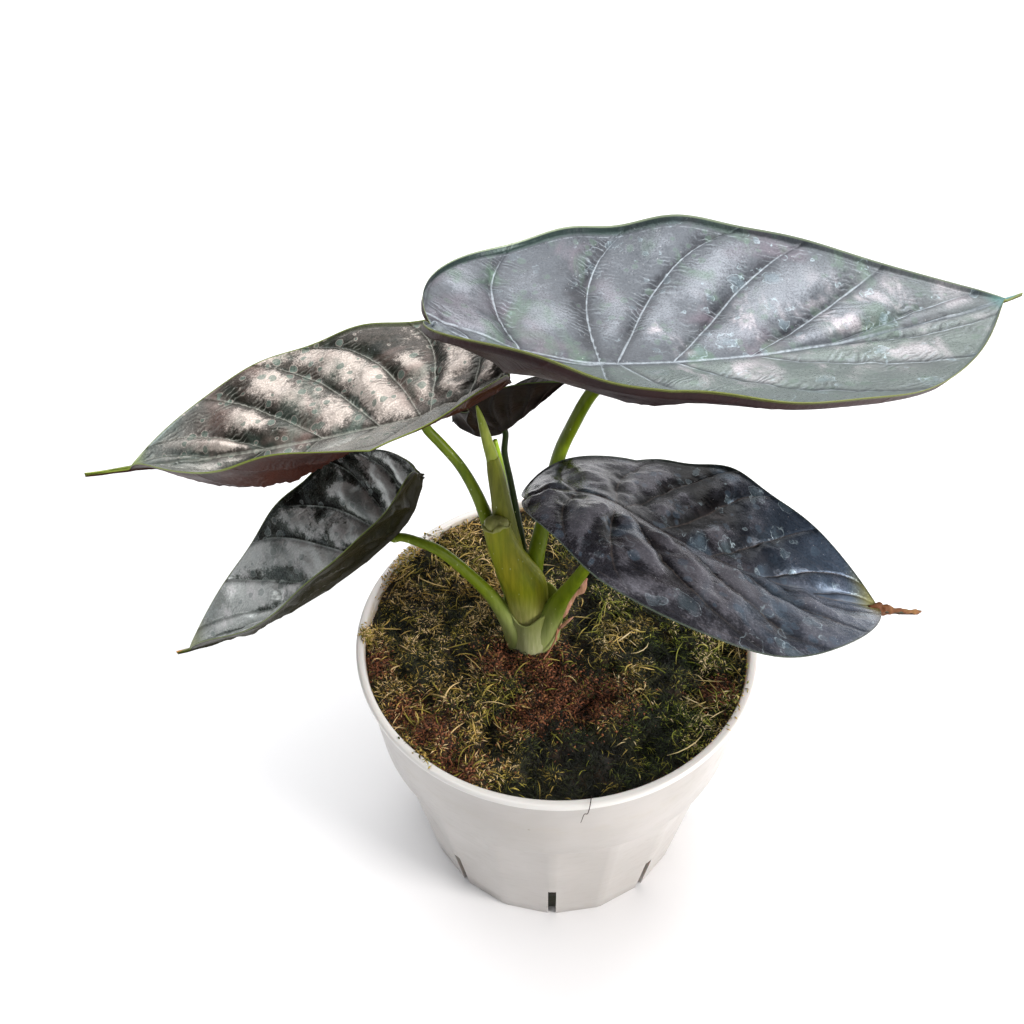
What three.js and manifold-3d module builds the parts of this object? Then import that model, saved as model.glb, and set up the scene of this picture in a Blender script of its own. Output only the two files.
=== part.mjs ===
// Alocasia in a white nursery pot: five peltate leaves on a short crown, standing in a
// 150 mm pot of mossy soil. Millimetres, +Z up, +X to the right, floor of the pot at Z = 0.
import * as THREE from 'three';
import Module from 'manifold-3d';

const wasm = await Module();
wasm.setup();

const GAP = 0.3; // clearance left between touching pieces
const SLIVER = 0.04; // shorter edges left by a cut are closed up
const DEG = Math.PI / 180;

// Pot: round tapering rim band over an eighteen-sided lower wall.
const POT = {
  height: 115,
  rimRadius: 75,
  lipHeight: 3.2,
  bandTopRadius: 73.6,
  bandBottomRadius: 70.4,
  bandBottomZ: 76,
  shoulderZ: 73,
  shoulderRadius: 67.4,
  baseRadius: 56.4,
  wall: 1.6,
  floor: 2,
  facets: 18,
  stepsPerFacet: 4,
  slotWidth: 3.2,
  slotHeight: 27,
  slotDepth: 7,
};

// Crown: the swollen base that every leaf stalk grows from.
const CROWN = {
  x: -8.6,
  y: 1.6,
  sides: 20,
  profile: [
    [78, 3.5], [86, 6.2], [96, 8.2], [106, 9.1], [114, 9.2], [120, 8.6], [126, 7.3], [131, 5.2],
    [133, 2.6],
  ],
};

// Soil: lumpy surface, close to the rim behind and at the sides.
const SOIL = {
  level: 108.6,
  mound: 1.6,
  moundRadius: 16,
  edgeRise: 2.4,
  lowestEdge: 106,
  rings: 12,
  holeRadius: 9.6,
  holeBottomZ: 77.6,
};

// Blades. Lengths run from the stalk: front to the tip, drip past it, back to the lobe ends,
// notch to the cut between the lobes. Angles in degrees: heading, pitch and roll set the
// blade down; bend, rise, sweep and twist shape the midrib. Each half, left then right, has
// its own width, its fold up from the midrib, how far that opens toward the tip, the curl
// toward the margin and a ruffle in two wavelengths. A half may sag into a gutter between
// midrib and margin: how deep, then where and over what length, in fronts.
const BLADE_THICKNESS = 0.8;
const BLADES = {
  upper_right: {
    at: [17.5, 4, 232.6], front: 124.5, drip: 6, back: 60.5, notch: 55.5, halfWidth: 67.4,
    lobe: 14.3, widest: 3.2, fullness: 2.07, shoulder: 1.09, dripWidth: 2.6,
    heading: 5.9, pitch: -3.2, roll: 0.7, bend: -10.9, rise: -26.5, sweep: 14.7, twist: 9.1,
    halves: [
      { width: 1.07, fold: -7.3, open: 7.2, curl: 23.4, curlBack: 0, ruffle: [-0.6, -0.4, 0, -1.1] },
      { width: 1.08, fold: 15, open: 0, curl: 24.6, curlBack: -13.2, ruffle: [0.4, 0.6, 0.6, 0.6] },
    ],
    ruffleLength: 90, relief: 2.4, rows: 30, columns: 7,
  },
  upper_left: {
    at: [-43.6, 8, 209], front: 106, drip: 17, back: 34, notch: 31, halfWidth: 50.3,
    lobe: 10.3, widest: 5.4, fullness: 2.52, shoulder: 0.9, dripWidth: 3.2,
    heading: 179.7, pitch: -16.7, roll: 11.4, bend: -6.5, rise: -25.4, sweep: 0.5, twist: -0.6,
    halves: [
      {
        width: 1.03, fold: 26.7, open: 28.3, curl: -25.9, curlBack: -33.6, ruffle: [2.2, 1.2, 0.3, -0.5],
        sag: [16.3, 0.54, 0.37],
      },
      { width: 1.01, fold: 16.6, open: 13.2, curl: 2.3, curlBack: 2.4, ruffle: [0.1, 0.3, -0.6, -0.9] },
    ],
    ruffleLength: 80, relief: 2.8, rows: 28, columns: 6,
  },
  lower_left: {
    at: [-56.7, -5, 168.4], front: 87.4, drip: 5.2, back: 27.5, notch: 24, halfWidth: 40.7,
    lobe: 9.4, widest: 7.6, fullness: 2.19, shoulder: 0.84, dripWidth: 2.6,
    heading: 202.9, pitch: -39.4, roll: 14.2, bend: -23.5, rise: -45.5, sweep: -12.7, twist: 0.8,
    halves: [
      {
        width: 0.77, fold: 36.7, open: 15.9, curl: -8.8, curlBack: -2.5, ruffle: [5, -0.8, -1.2, -1],
        sag: [5.2, 0.68, 0.19],
      },
      { width: 1.01, fold: 25.9, open: 5, curl: 13, curlBack: 0, ruffle: [0, 0.6, 1.2, -0.2] },
    ],
    ruffleLength: 80, relief: 2, rows: 26, columns: 6,
  },
  lower_right: {
    at: [19.2, -32, 207.2], front: 89.2, drip: 17.5, back: 29.5, notch: 26.2, halfWidth: 45.1,
    lobe: 9.1, widest: 11.5, fullness: 2.34, shoulder: 0.94, dripWidth: 2.8,
    heading: -20.8, pitch: -25.6, roll: -47.7, bend: -23, rise: 57, sweep: 23.7, twist: 6.5,
    halves: [
      { width: 1.05, fold: 20.2, open: 30.7, curl: 6.6, curlBack: -7.8, ruffle: [-1, 0, 0.1, 0.8] },
      { width: 1.01, fold: -8.3, open: 19.2, curl: -43, curlBack: -9.5, ruffle: [0.5, 1.3, 0.3, -0.1] },
    ],
    ruffleLength: 64, relief: 2.2, rows: 28, columns: 6,
  },
  back: {
    at: [-19.1, 22, 194.1], front: 28.4, drip: 1.5, back: 19, notch: 16.5, halfWidth: 17,
    lobe: 6, widest: 3.7, fullness: 2.1, shoulder: 0.9, dripWidth: 2.2,
    heading: -1.6, pitch: 41.2, roll: -26.2, bend: -3, rise: -98.2, sweep: -3.6, twist: -1.4,
    halves: [
      { width: 1, fold: 28, open: 0, curl: 8, curlBack: 0, ruffle: [0, 0, 0, 0] },
      { width: 1.01, fold: 37.1, open: 3.2, curl: 13.7, curlBack: 0, ruffle: [0, 0, 0, 0] },
    ],
    ruffleLength: 60, relief: 0.9, rows: 20, columns: 4,
  },
};

// Margin stations: share of the outline spent on the inner lobe and up to the widest line.
const INNER_LOBE_END = 0.12;
const WIDEST_AT = 0.42;
const DRIP_START = 0.86;

// Side veins from the lobes to the tip: where each leaves the midrib, how far it leans
// toward the tip on its way to the margin, and how far more it sweeps near the margin. In
// backs of the blade up to the one at the stalk, and from there on in fronts.
const VEINS = [
  [-0.98, -0.55, 0.16], [-0.74, -0.41, 0.2], [-0.46, -0.33, 0.25], [-0.08, -0.06, 0.4],
  [0, 0.23, 0.23], [0.137, 0.38, 0.1], [0.33, 0.45, 0], [0.52, 0.43, 0],
  [0.7, 0.32, 0], [0.86, 0.2, 0], [1.1, 0, 0],
];
const FIRST_VEIN = 4; // place in the list of the first vein ahead of the stalk

// Stalks: centre lines from the blade down into the crown, the radius at the top, along the
// stalk and at its sheath, any further drop below the blade, and the length of its straight
// top in radii where that isn't the usual one.
const STALKS = {
  upper_right: {
    path: [
      [10.5, 7.5, 219.3], [4.6, 10.5, 203.4], [0.7, 12.5, 190.3], [-2.7, 12, 171.8],
      [-5.5, 8.5, 157], [-7.2, 4.5, 149.6], [-9.2, 1, 128],
    ],
    radius: [2, 2.4, 3.4],
  },
  upper_left: {
    path: [
      [-43, 7.3, 203], [-38.4, 7, 198.7], [-32.2, 6, 190.2], [-27.6, 4.6, 180.4],
      [-24.2, 4.4, 168.1], [-20.4, 4.6, 148], [-14, 2.2, 124],
    ],
    radius: [1.5, 1.8, 3.2],
  },
  lower_left: {
    path: [
      [-53, -4.6, 167.2], [-46.4, -4.1, 164.1], [-39.8, -3.7, 159.3], [-26.4, -2.9, 141.1],
      [-20.4, -2.6, 128.6], [-14.2, -1.6, 113.5],
    ],
    radius: [1.2, 1.8, 3.4],
  },
  lower_right: {
    path: [
      [13.6, -24, 183.9], [9.2, -17, 165.2], [5.4, -11.4, 151.4], [1.6, -6.6, 138.6],
      [-1.6, -3.2, 128], [-4.2, -1.2, 115],
    ],
    radius: [1.7, 2.2, 3.6],
    drop: 0.5,
    lead: 2.6,
  },
  back: {
    path: [[-18.2, 18.8, 185.8], [-16.2, 15.7, 174.8], [-14.5, 12.5, 164], [-12.6, 8.8, 151], [-10.6, 3, 127.7]],
    radius: [1.1, 1.2, 2.2],
    lead: 2.6,
  },
};
const STALK_SIDES = 9;
const STALK_STEPS = 14;
const SHEATH_FROM = 0.55; // share of a stalk, from the top, where it broadens
const UNDER_BLADE = 0.15;
const STALK_LEAD = 0.25;

// The cut stump of an old stalk, the rolled new leaf in its sheath, the pale bud leaf behind
// them and the dried sheath: [x, y, z, radius] from the bottom up.
const STUMP = [
  [-9.6, 0, 121.5, 6.6], [-10.4, -0.4, 132.5, 7.4], [-11.6, -0.8, 141.6, 7.6],
  [-14.3, -1.2, 148.8, 6.9], [-17.2, -1.6, 157, 5.8], [-19.4, -2, 165.3, 5], [-20.4, -2, 170.7, 4.7],
];
const STUMP_DEPTH = 0.8;
const STUMP_HOLLOW = 3;
const NEW_SHEATH = [
  [-11, 1, 126, 4.8], [-13.8, 1.4, 140, 5], [-16.2, 1.9, 155.5, 4.6], [-17.7, 2.2, 167, 4],
  [-18.9, 2.8, 179, 3.3], [-20.4, 3.6, 190, 2.7], [-21.2, 4, 196, 2],
];
const NEW_LEAF = [
  [-19.6, 3.2, 184, 2.1], [-21.2, 4, 195, 2.1], [-23, 5.2, 203, 1.7], [-24.6, 6.4, 210, 1.1],
  [-25.7, 7.2, 214.2, 0.35],
];
const BUD_LEAF = [
  [-15.6, 6.4, 164, 1.2], [-17.5, 7, 178, 1.3], [-19.2, 8, 190, 1.3], [-20.4, 9, 199, 0.7],
];
const DRIED_SHEATH = [
  [-0.4, -4.4, 113, 1.3], [0.2, -4.6, 117, 1.5], [0.9, -5, 122, 1.7], [1.6, -5.2, 127, 1.7],
  [3.8, -5.6, 133.6, 1.6], [7.2, -6, 141.2, 1.5], [9.8, -6, 145.6, 1.4], [10.4, -6, 149, 0.9],
];
const DRIED_THICKNESS = 0.4;

const COLOURS = {
  pot: [0xe9e6e8, 0.36],
  soil: [0x33281b, 0.96],
  crown: [0xb6c58a, 0.45],
  stump: [0x9cae5c, 0.5],
  new_leaf: [0x76903a, 0.45],
  bud_leaf: [0xb8d648, 0.45],
  dried_sheath: [0x8c4f38, 0.8],
  stalk: [0x7d9a38, 0.42],
  stalk_back: [0x506c26, 0.42],
  blade_upper_right: [0x80828f, 0.3],
  blade_upper_left: [0x645d60, 0.28],
  blade_lower_left: [0x42474a, 0.3],
  blade_lower_right: [0x44444d, 0.28],
  blade_back: [0x46332f, 0.4],
};

// A closed geometry from a list of points and a list of index triples, wound outward.
function body(points, faces) {
  let volume = 0;
  const cross = new THREE.Vector3();
  for (const [a, b, c] of faces) {
    volume += points[a].dot(cross.crossVectors(points[b], points[c]));
  }
  const wound = volume < 0 ? faces.map(([a, b, c]) => [a, c, b]) : faces;
  const geometry = new THREE.BufferGeometry();
  const flat = points.flatMap((p) => p.toArray());
  geometry.setAttribute('position', new THREE.Float32BufferAttribute(flat, 3));
  geometry.setIndex(wound.flat());
  return geometry;
}

// Skin over rings of equal length, each end closed by a fan to a point sunk by its own depth.
function loft(rings, sinkStart = 0, sinkEnd = 0) {
  const count = rings[0].length;
  const points = rings.flat();
  const faces = [];
  for (let i = 0; i + 1 < rings.length; i += 1) {
    for (let j = 0; j < count; j += 1) {
      const k = (j + 1) % count;
      faces.push([i * count + j, i * count + k, (i + 1) * count + k]);
      faces.push([i * count + j, (i + 1) * count + k, (i + 1) * count + j]);
    }
  }
  const last = rings.length - 1;
  const ends = [[0, 1, sinkStart], [last, last - 1, sinkEnd]];
  ends.forEach(([end, inner, sink]) => {
    const middle = centre(rings[end]);
    const inward = centre(rings[inner]).sub(middle).normalize();
    points.push(middle.addScaledVector(inward, sink));
    for (let j = 0; j < count; j += 1) {
      const k = (j + 1) % count;
      const edge = end === 0 ? [end * count + k, end * count + j] : [end * count + j, end * count + k];
      faces.push([points.length - 1, ...edge]);
    }
  });
  return body(points, faces);
}

function centre(ring) {
  const sum = new THREE.Vector3();
  ring.forEach((p) => sum.add(p));
  return sum.divideScalar(ring.length);
}

// Rings along a smooth line through stations [x, y, z, radius], squashed across by depth.
function rod(stations, { steps, sides, depth = 1, grow = 0, thickness = null, sinkEnd = 0 }) {
  const curve = new THREE.CatmullRomCurve3(stations.map(([x, y, z]) => new THREE.Vector3(x, y, z)));
  const rings = [];
  for (let i = 0; i <= steps; i += 1) {
    const t = i / steps;
    const along = t * (stations.length - 1);
    const low = Math.min(Math.floor(along), stations.length - 2);
    const radius = THREE.MathUtils.lerp(stations[low][3], stations[low + 1][3], along - low);
    const tangent = curve.getTangent(t);
    const middle = curve.getPoint(t);
    if (i === 0) middle.addScaledVector(tangent, -grow);
    if (i === steps) middle.addScaledVector(tangent, grow);
    const across = new THREE.Vector3(0, -1, 0).cross(tangent).normalize();
    const front = tangent.clone().cross(across).normalize();
    const ring = [];
    for (let j = 0; j < sides; j += 1) {
      const angle = (j / sides) * 2 * Math.PI;
      const half = thickness === null ? radius * depth : thickness;
      ring.push(middle.clone()
        .addScaledVector(across, (radius + grow) * Math.cos(angle))
        .addScaledVector(front, (half + grow) * Math.sin(angle)));
    }
    rings.push(ring);
  }
  return loft(rings, 0, sinkEnd);
}

function solid(geometry) {
  const mesh = new wasm.Mesh({
    numProp: 3,
    vertProperties: new Float32Array(geometry.attributes.position.array),
    triVerts: new Uint32Array(geometry.index.array),
  });
  return new wasm.Manifold(mesh);
}

// The largest body left after the cutters are taken away.
function cut(geometry, cutters) {
  let left = solid(geometry);
  cutters.forEach((cutter) => {
    left = left.subtract(solid(cutter));
  });
  return geometryOf(left);
}

function join(first, second) {
  return geometryOf(solid(first).add(solid(second)));
}

function geometryOf(manifold) {
  const pieces = manifold.decompose().sort((a, b) => b.volume() - a.volume());
  const mesh = pieces[0].simplify(SLIVER).getMesh();
  const points = [];
  for (let i = 0; i < mesh.vertProperties.length; i += 3) {
    points.push(new THREE.Vector3().fromArray(mesh.vertProperties, i));
  }
  const faces = [];
  for (let i = 0; i < mesh.triVerts.length; i += 3) faces.push([...mesh.triVerts.slice(i, i + 3)]);
  return body(...closeShortEdges(points, faces));
}

// The same surface with the two ends of every short edge made one point.
function closeShortEdges(points, faces) {
  const joined = points.map((_, i) => i);
  const find = (i) => (joined[i] === i ? i : find(joined[i]));
  faces.forEach((face) => {
    face.forEach((corner, n) => {
      const [a, b] = [find(corner), find(face[(n + 1) % 3])];
      if (a !== b && points[a].distanceTo(points[b]) < SLIVER) joined[b] = a;
    });
  });
  const kept = faces.map((face) => face.map(find)).filter(([a, b, c]) => a !== b && b !== c && c !== a);
  const used = [...new Set(kept.flat())];
  const place = new Map(used.map((old, i) => [old, i]));
  return [used.map((i) => points[i]), kept.map((face) => face.map((i) => place.get(i)))];
}

// Radius of the eighteen-sided wall at an angle, for a given corner radius.
function facetRadius(corner, angle) {
  const step = (2 * Math.PI) / POT.facets;
  const turned = THREE.MathUtils.euclideanModulo(angle + Math.PI / 2, step) - step / 2;
  return (corner * Math.cos(step / 2)) / Math.cos(turned);
}

function potRing(z, radius, faceted) {
  const count = POT.facets * POT.stepsPerFacet;
  return Array.from({ length: count }, (_, j) => {
    const angle = (j / count) * 2 * Math.PI - Math.PI / 2;
    const r = faceted ? facetRadius(radius, angle) : radius;
    return new THREE.Vector3(r * Math.cos(angle), r * Math.sin(angle), z);
  });
}

// Corner radius of the lower wall's outer face at a height.
function wallRadius(z) {
  return THREE.MathUtils.mapLinear(z, 0, POT.shoulderZ, POT.baseRadius, POT.shoulderRadius);
}

// Outer radius of the round band at a height.
function bandRadius(z) {
  return THREE.MathUtils.mapLinear(z, POT.bandBottomZ, POT.height, POT.bandBottomRadius, POT.bandTopRadius);
}

function makePot() {
  const { height, rimRadius, lipHeight, wall, floor } = POT;
  const lipZ = height - lipHeight;
  const rings = [
    potRing(0, POT.baseRadius, true),
    potRing(POT.shoulderZ, POT.shoulderRadius, true),
    potRing(POT.bandBottomZ, POT.bandBottomRadius, false),
    potRing(lipZ, bandRadius(lipZ), false),
    potRing(lipZ + 0.3 * lipHeight, rimRadius, false),
    potRing(height - 0.25 * lipHeight, rimRadius, false),
    potRing(height, rimRadius - 0.8, false),
    potRing(height, bandRadius(height) - wall + 0.5, false),
    potRing(height - 0.6, bandRadius(height) - wall, false),
    potRing(POT.bandBottomZ, POT.bandBottomRadius - wall, false),
    potRing(POT.shoulderZ, POT.shoulderRadius - wall, true),
    potRing(floor, wallRadius(floor) - wall, true),
  ];
  const shell = loft(rings);
  const slots = [];
  for (let k = 0; k < POT.facets; k += 2) {
    const box = new THREE.BoxGeometry(POT.slotDepth * 2, POT.slotWidth, POT.slotHeight * 2);
    box.translate(POT.baseRadius, 0, 0);
    box.rotateZ((k / POT.facets) * 2 * Math.PI - Math.PI / 2);
    slots.push(welded(box));
  }
  return cut(shell, slots);
}

// Box with its eight corners shared, so that it counts as closed.
function welded(box) {
  const position = box.attributes.position;
  const keys = new Map();
  const points = [];
  const remap = [];
  for (let i = 0; i < position.count; i += 1) {
    const point = new THREE.Vector3().fromBufferAttribute(position, i);
    const key = point.toArray().map((v) => v.toFixed(4)).join();
    if (!keys.has(key)) {
      keys.set(key, points.length);
      points.push(point);
    }
    remap.push(keys.get(key));
  }
  const faces = [];
  for (let i = 0; i < box.index.count; i += 3) {
    faces.push([0, 1, 2].map((n) => remap[box.index.getX(i + n)]));
  }
  return body(points, faces);
}

// Height of the soil surface.
function soilHeight(x, y) {
  const lumps = 1.2 * Math.sin(0.13 * x + 0.8) * Math.cos(0.11 * y - 1.2)
    + 0.8 * Math.sin(0.21 * x - 0.17 * y + 2.1)
    + 0.5 * Math.cos(0.37 * x + 0.31 * y);
  const fromCrown = Math.hypot(x - CROWN.x, y - CROWN.y) / SOIL.moundRadius;
  const outward = (Math.hypot(x, y) / POT.bandTopRadius) ** 6;
  const behind = 0.7 + (0.3 * y) / POT.bandTopRadius;
  const mound = SOIL.mound * Math.exp(-0.5 * fromCrown ** 2);
  const quiet = (1 - 0.6 * Math.exp(-(fromCrown ** 2))) * (1 - 0.6 * outward);
  return SOIL.level + lumps * quiet + mound + SOIL.edgeRise * outward * behind;
}

function makeSoil() {
  const { rings, holeRadius, holeBottomZ } = SOIL;
  const gap = GAP + 0.1;
  const topEdge = bandRadius(SOIL.lowestEdge) - POT.wall - gap;
  const edge = potRing(0, topEdge, false);
  const hole = edge.map((p) => {
    const outward = new THREE.Vector2(p.x, p.y).normalize().multiplyScalar(holeRadius);
    return new THREE.Vector3(CROWN.x + outward.x, CROWN.y + outward.y, 0);
  });
  const surface = [];
  for (let i = 0; i <= rings; i += 1) {
    const share = (i / rings) ** 0.85;
    surface.push(hole.map((p, j) => {
      const point = p.clone().lerp(edge[j], share);
      point.z = soilHeight(point.x, point.y);
      return point;
    }));
  }
  const bottomZ = POT.floor + gap;
  const layers = [
    hole.map((p) => new THREE.Vector3(p.x, p.y, holeBottomZ)),
    ...surface,
    potRing(POT.bandBottomZ, POT.bandBottomRadius - POT.wall - gap, false),
    potRing(POT.shoulderZ, POT.shoulderRadius - POT.wall - gap, true),
    potRing(bottomZ, wallRadius(bottomZ) - POT.wall - gap, true),
  ];
  return loft(layers);
}

function makeCrown(grow = 0) {
  const rings = CROWN.profile.map(([z, radius], i) => {
    const lift = i === 0 ? -grow : i === CROWN.profile.length - 1 ? grow : 0;
    return Array.from({ length: CROWN.sides }, (_, j) => {
      const angle = (j / CROWN.sides) * 2 * Math.PI;
      return new THREE.Vector3(
        CROWN.x + (radius + grow) * Math.cos(angle),
        CROWN.y + (radius + grow) * Math.sin(angle),
        z + lift,
      );
    });
  });
  return loft(rings);
}

const newSheath = (grow = 0) => rod(NEW_SHEATH, { steps: 12, sides: 10, grow });
const newRoll = (grow = 0) => rod(NEW_LEAF, { steps: 8, sides: 8, grow });
const stump = (grow = 0) => rod(STUMP, {
  steps: 14,
  sides: 16,
  depth: STUMP_DEPTH,
  grow,
  sinkEnd: grow ? 0 : STUMP_HOLLOW,
});

// A stalk from just under its blade down to its sheath on the crown.
function makeStalk(name, grow = 0) {
  const { path, radius, drop = 0, lead = STALK_LEAD } = STALKS[name];
  const [top, middle, base] = radius;
  const frame = bladeFrame(BLADES[name]);
  const reach = BLADE_THICKNESS / 2 + GAP + UNDER_BLADE + drop;
  const end = frame.at.clone().addScaledVector(frame.up, -reach);
  const under = frame.at.clone().addScaledVector(frame.up, -reach - top * lead);
  const line = [end.toArray(), under.toArray(), ...path].reverse();
  const stations = line.map(([x, y, z], i) => {
    const share = 1 - i / (line.length - 1);
    const r = share < SHEATH_FROM
      ? THREE.MathUtils.lerp(top, middle, share / SHEATH_FROM)
      : THREE.MathUtils.lerp(middle, base, (share - SHEATH_FROM) / (1 - SHEATH_FROM));
    return [x, y, z, r];
  });
  return rod(stations, { steps: STALK_STEPS, sides: STALK_SIDES, grow });
}

// Axes of a blade: forward along the midrib, left across it, up out of its upper face.
function bladeFrame(leaf) {
  const heading = leaf.heading * DEG;
  const pitch = leaf.pitch * DEG;
  const roll = leaf.roll * DEG;
  const forward = new THREE.Vector3(
    Math.cos(pitch) * Math.cos(heading),
    Math.cos(pitch) * Math.sin(heading),
    Math.sin(pitch),
  );
  const level = new THREE.Vector3(-Math.sin(heading), Math.cos(heading), 0);
  const raised = forward.clone().cross(level);
  const left = level.clone().multiplyScalar(Math.cos(roll)).addScaledVector(raised, Math.sin(roll));
  const up = forward.clone().cross(left);
  return { at: new THREE.Vector3(...leaf.at), forward, left, up };
}

// Flat margin of one half at a station from 0, the notch, to 1, the tip: [along, across].
function marginAt(leaf, u) {
  const { front, drip, back, notch, halfWidth, lobe, widest } = leaf;
  if (u < INNER_LOBE_END) {
    const turn = (1 - u / INNER_LOBE_END) * (Math.PI / 2);
    return [-back + (back - notch) * (1 - Math.cos(turn)), lobe * (1 - Math.sin(turn))];
  }
  if (u < WIDEST_AT) {
    const turn = (1 - (u - INNER_LOBE_END) / (WIDEST_AT - INNER_LOBE_END)) * (Math.PI / 2);
    const across = lobe + (halfWidth - lobe) * Math.max(Math.cos(turn), 0) ** 0.9;
    return [widest - (widest + back) * Math.sin(turn), across];
  }
  const share = (u - WIDEST_AT) / (1 - WIDEST_AT);
  const along = share < DRIP_START
    ? widest + (front - widest) * Math.sin((share / DRIP_START) * (Math.PI / 2)) ** 0.9
    : front + (drip * (share - DRIP_START)) / (1 - DRIP_START);
  const forward = THREE.MathUtils.clamp((along - widest) / (front - widest), 0, 1);
  const width = halfWidth * (1 - forward ** leaf.fullness) ** leaf.shoulder;
  const tail = leaf.dripWidth * THREE.MathUtils.clamp((front + drip - along) / (drip + 0.25 * front), 0, 1);
  return [along, u === 1 ? 0 : Math.max(width, tail)];
}

// Place on the midrib that a station's rib starts from.
function midribAt(leaf, u) {
  return -leaf.notch + (leaf.front + leaf.drip + leaf.notch) * u ** 1.6;
}

// Number of a side vein, counted from the one at the stalk; whole on a vein and running
// evenly from each vein to the next.
function veinNumber(leaf, along, share) {
  const lines = VEINS.map(([start, lean, sweep], i) => {
    const unit = i < FIRST_VEIN ? leaf.back : leaf.front;
    return unit * (start + lean * share + sweep * share ** 4);
  });
  let number = -FIRST_VEIN;
  for (let i = 1; i < lines.length; i += 1) {
    number += THREE.MathUtils.clamp((along - lines[i - 1]) / (lines[i] - lines[i - 1]), 0, 1);
  }
  return number;
}

// Height of the quilted relief over the smooth blade.
function quilting(leaf, along, across, share) {
  const crest = Math.abs(Math.sin(Math.PI * veinNumber(leaf, along, share))) ** 0.75;
  const fromStalk = Math.min(Math.hypot(along, across) / (0.3 * leaf.halfWidth), 1);
  const toTip = THREE.MathUtils.clamp((leaf.front - along) / (0.35 * leaf.front), 0, 1);
  return leaf.relief * (crest - 0.45) * (1 - share ** 4) * Math.min(share * 4, 1) * fromStalk ** 2 * toTip;
}

// A flat point of one half carried on to the bent, twisted and folded blade.
function bladePoint(leaf, frame, along, across, half) {
  const side = half === 0 ? 1 : -1;
  const slope = (along > 0 ? (-leaf.bend * along) / leaf.front : (-leaf.rise * along) / leaf.back) * DEG;
  const turn = (leaf.sweep * along * DEG) / leaf.front;
  const twist = (leaf.twist * along * DEG) / leaf.front;
  const middle = new THREE.Vector3(
    Math.cos(slope / 2) * Math.cos(turn / 2),
    Math.cos(slope / 2) * Math.sin(turn / 2),
    Math.sin(slope / 2),
  ).multiplyScalar(along);
  const tangent = new THREE.Vector3(
    Math.cos(slope) * Math.cos(turn),
    Math.cos(slope) * Math.sin(turn),
    Math.sin(slope),
  );
  const level = new THREE.Vector3(-Math.sin(turn), Math.cos(turn), 0);
  const normal = tangent.clone().cross(level);
  const sideways = level.clone().multiplyScalar(Math.cos(twist)).addScaledVector(normal, Math.sin(twist));
  const upward = normal.clone().multiplyScalar(Math.cos(twist)).addScaledVector(level, -Math.sin(twist));
  const { width, fold, open, curl, curlBack, ruffle, sag } = leaf.halves[half];
  const out = (across * width) / leaf.halfWidth;
  const curlHere = curl + (along < 0 ? (curlBack * along) / leaf.back : 0);
  const lift = (fold + (open * along) / leaf.front + (curlHere * out) / 2) * DEG;
  const phase = (2 * Math.PI * along) / leaf.ruffleLength;
  const wave = ruffle[0] * Math.cos(phase) + ruffle[1] * Math.sin(phase)
    + ruffle[2] * Math.cos(2 * phase) + ruffle[3] * Math.sin(2 * phase);
  middle.addScaledVector(sideways, side * across * width * Math.cos(lift));
  middle.addScaledVector(upward, across * width * Math.sin(lift) + wave * out * out);
  if (sag) {
    const fromDeepest = (along / leaf.front - sag[1]) / sag[2];
    middle.z -= sag[0] * 4 * out * (1 - out) * Math.exp(-(fromDeepest ** 2));
  }
  return frame.at.clone()
    .addScaledVector(frame.forward, middle.x)
    .addScaledVector(frame.left, middle.y)
    .addScaledVector(frame.up, middle.z);
}

function makeBlade(leaf) {
  const { rows, columns } = leaf;
  const frame = bladeFrame(leaf);
  const width = 2 * columns + 1;
  const middle = [];
  const heights = [];
  const index = (i, j) => {
    if (i === 0) return 0;
    return i === rows ? 1 + (rows - 1) * width : 1 + (i - 1) * width + j;
  };
  for (let i = 0; i <= rows; i += 1) {
    const u = i / rows;
    const [edgeAlong, edgeAcross] = marginAt(leaf, u);
    const ribStart = midribAt(leaf, u);
    for (let j = 0; j < width; j += 1) {
      if ((i === 0 || i === rows) && j > 0) continue;
      const end = i === 0 || i === rows;
      const share = end ? 0 : Math.abs(j - columns) / columns;
      const half = j >= columns ? 0 : 1;
      const along = ribStart + (edgeAlong - ribStart) * share;
      const across = edgeAcross * share;
      middle.push(bladePoint(leaf, frame, along, across, half));
      heights.push(quilting(leaf, along, across, share));
    }
  }
  const upper = [];
  for (let i = 0; i < rows; i += 1) {
    for (let j = 0; j + 1 < width; j += 1) {
      const [a, b, c, d] = [index(i, j), index(i, j + 1), index(i + 1, j + 1), index(i + 1, j)];
      if (i > 0) upper.push([a, b, c]);
      if (i + 1 < rows) upper.push([a, c, d]);
    }
  }
  const normals = vertexNormals(middle, upper);
  const half = BLADE_THICKNESS / 2;
  const top = middle.map((p, k) => p.clone().addScaledVector(normals[k], heights[k] + half));
  const bottom = middle.map((p, k) => p.clone().addScaledVector(normals[k], heights[k] - half));
  const faces = [...upper];
  const shift = middle.length;
  upper.forEach(([a, b, c]) => faces.push([a + shift, c + shift, b + shift]));
  const rim = [];
  for (let i = 0; i < rows; i += 1) rim.push(index(i, 0));
  for (let i = rows; i > 0; i -= 1) rim.push(index(i, width - 1));
  rim.forEach((a, k) => {
    const b = rim[(k + 1) % rim.length];
    faces.push([a, b, b + shift], [a, b + shift, a + shift]);
  });
  return body([...top, ...bottom], faces);
}

// Unit normals that point out of the blade's upper face.
function vertexNormals(points, faces) {
  const normals = points.map(() => new THREE.Vector3());
  faces.forEach(([a, b, c]) => {
    const first = points[b].clone().sub(points[a]);
    const second = points[c].clone().sub(points[a]);
    const area = second.cross(first);
    [a, b, c].forEach((k) => normals[k].add(area));
  });
  return normals.map((n) => n.normalize());
}

const plant = new THREE.Group();
plant.name = 'potted_alocasia';

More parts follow.
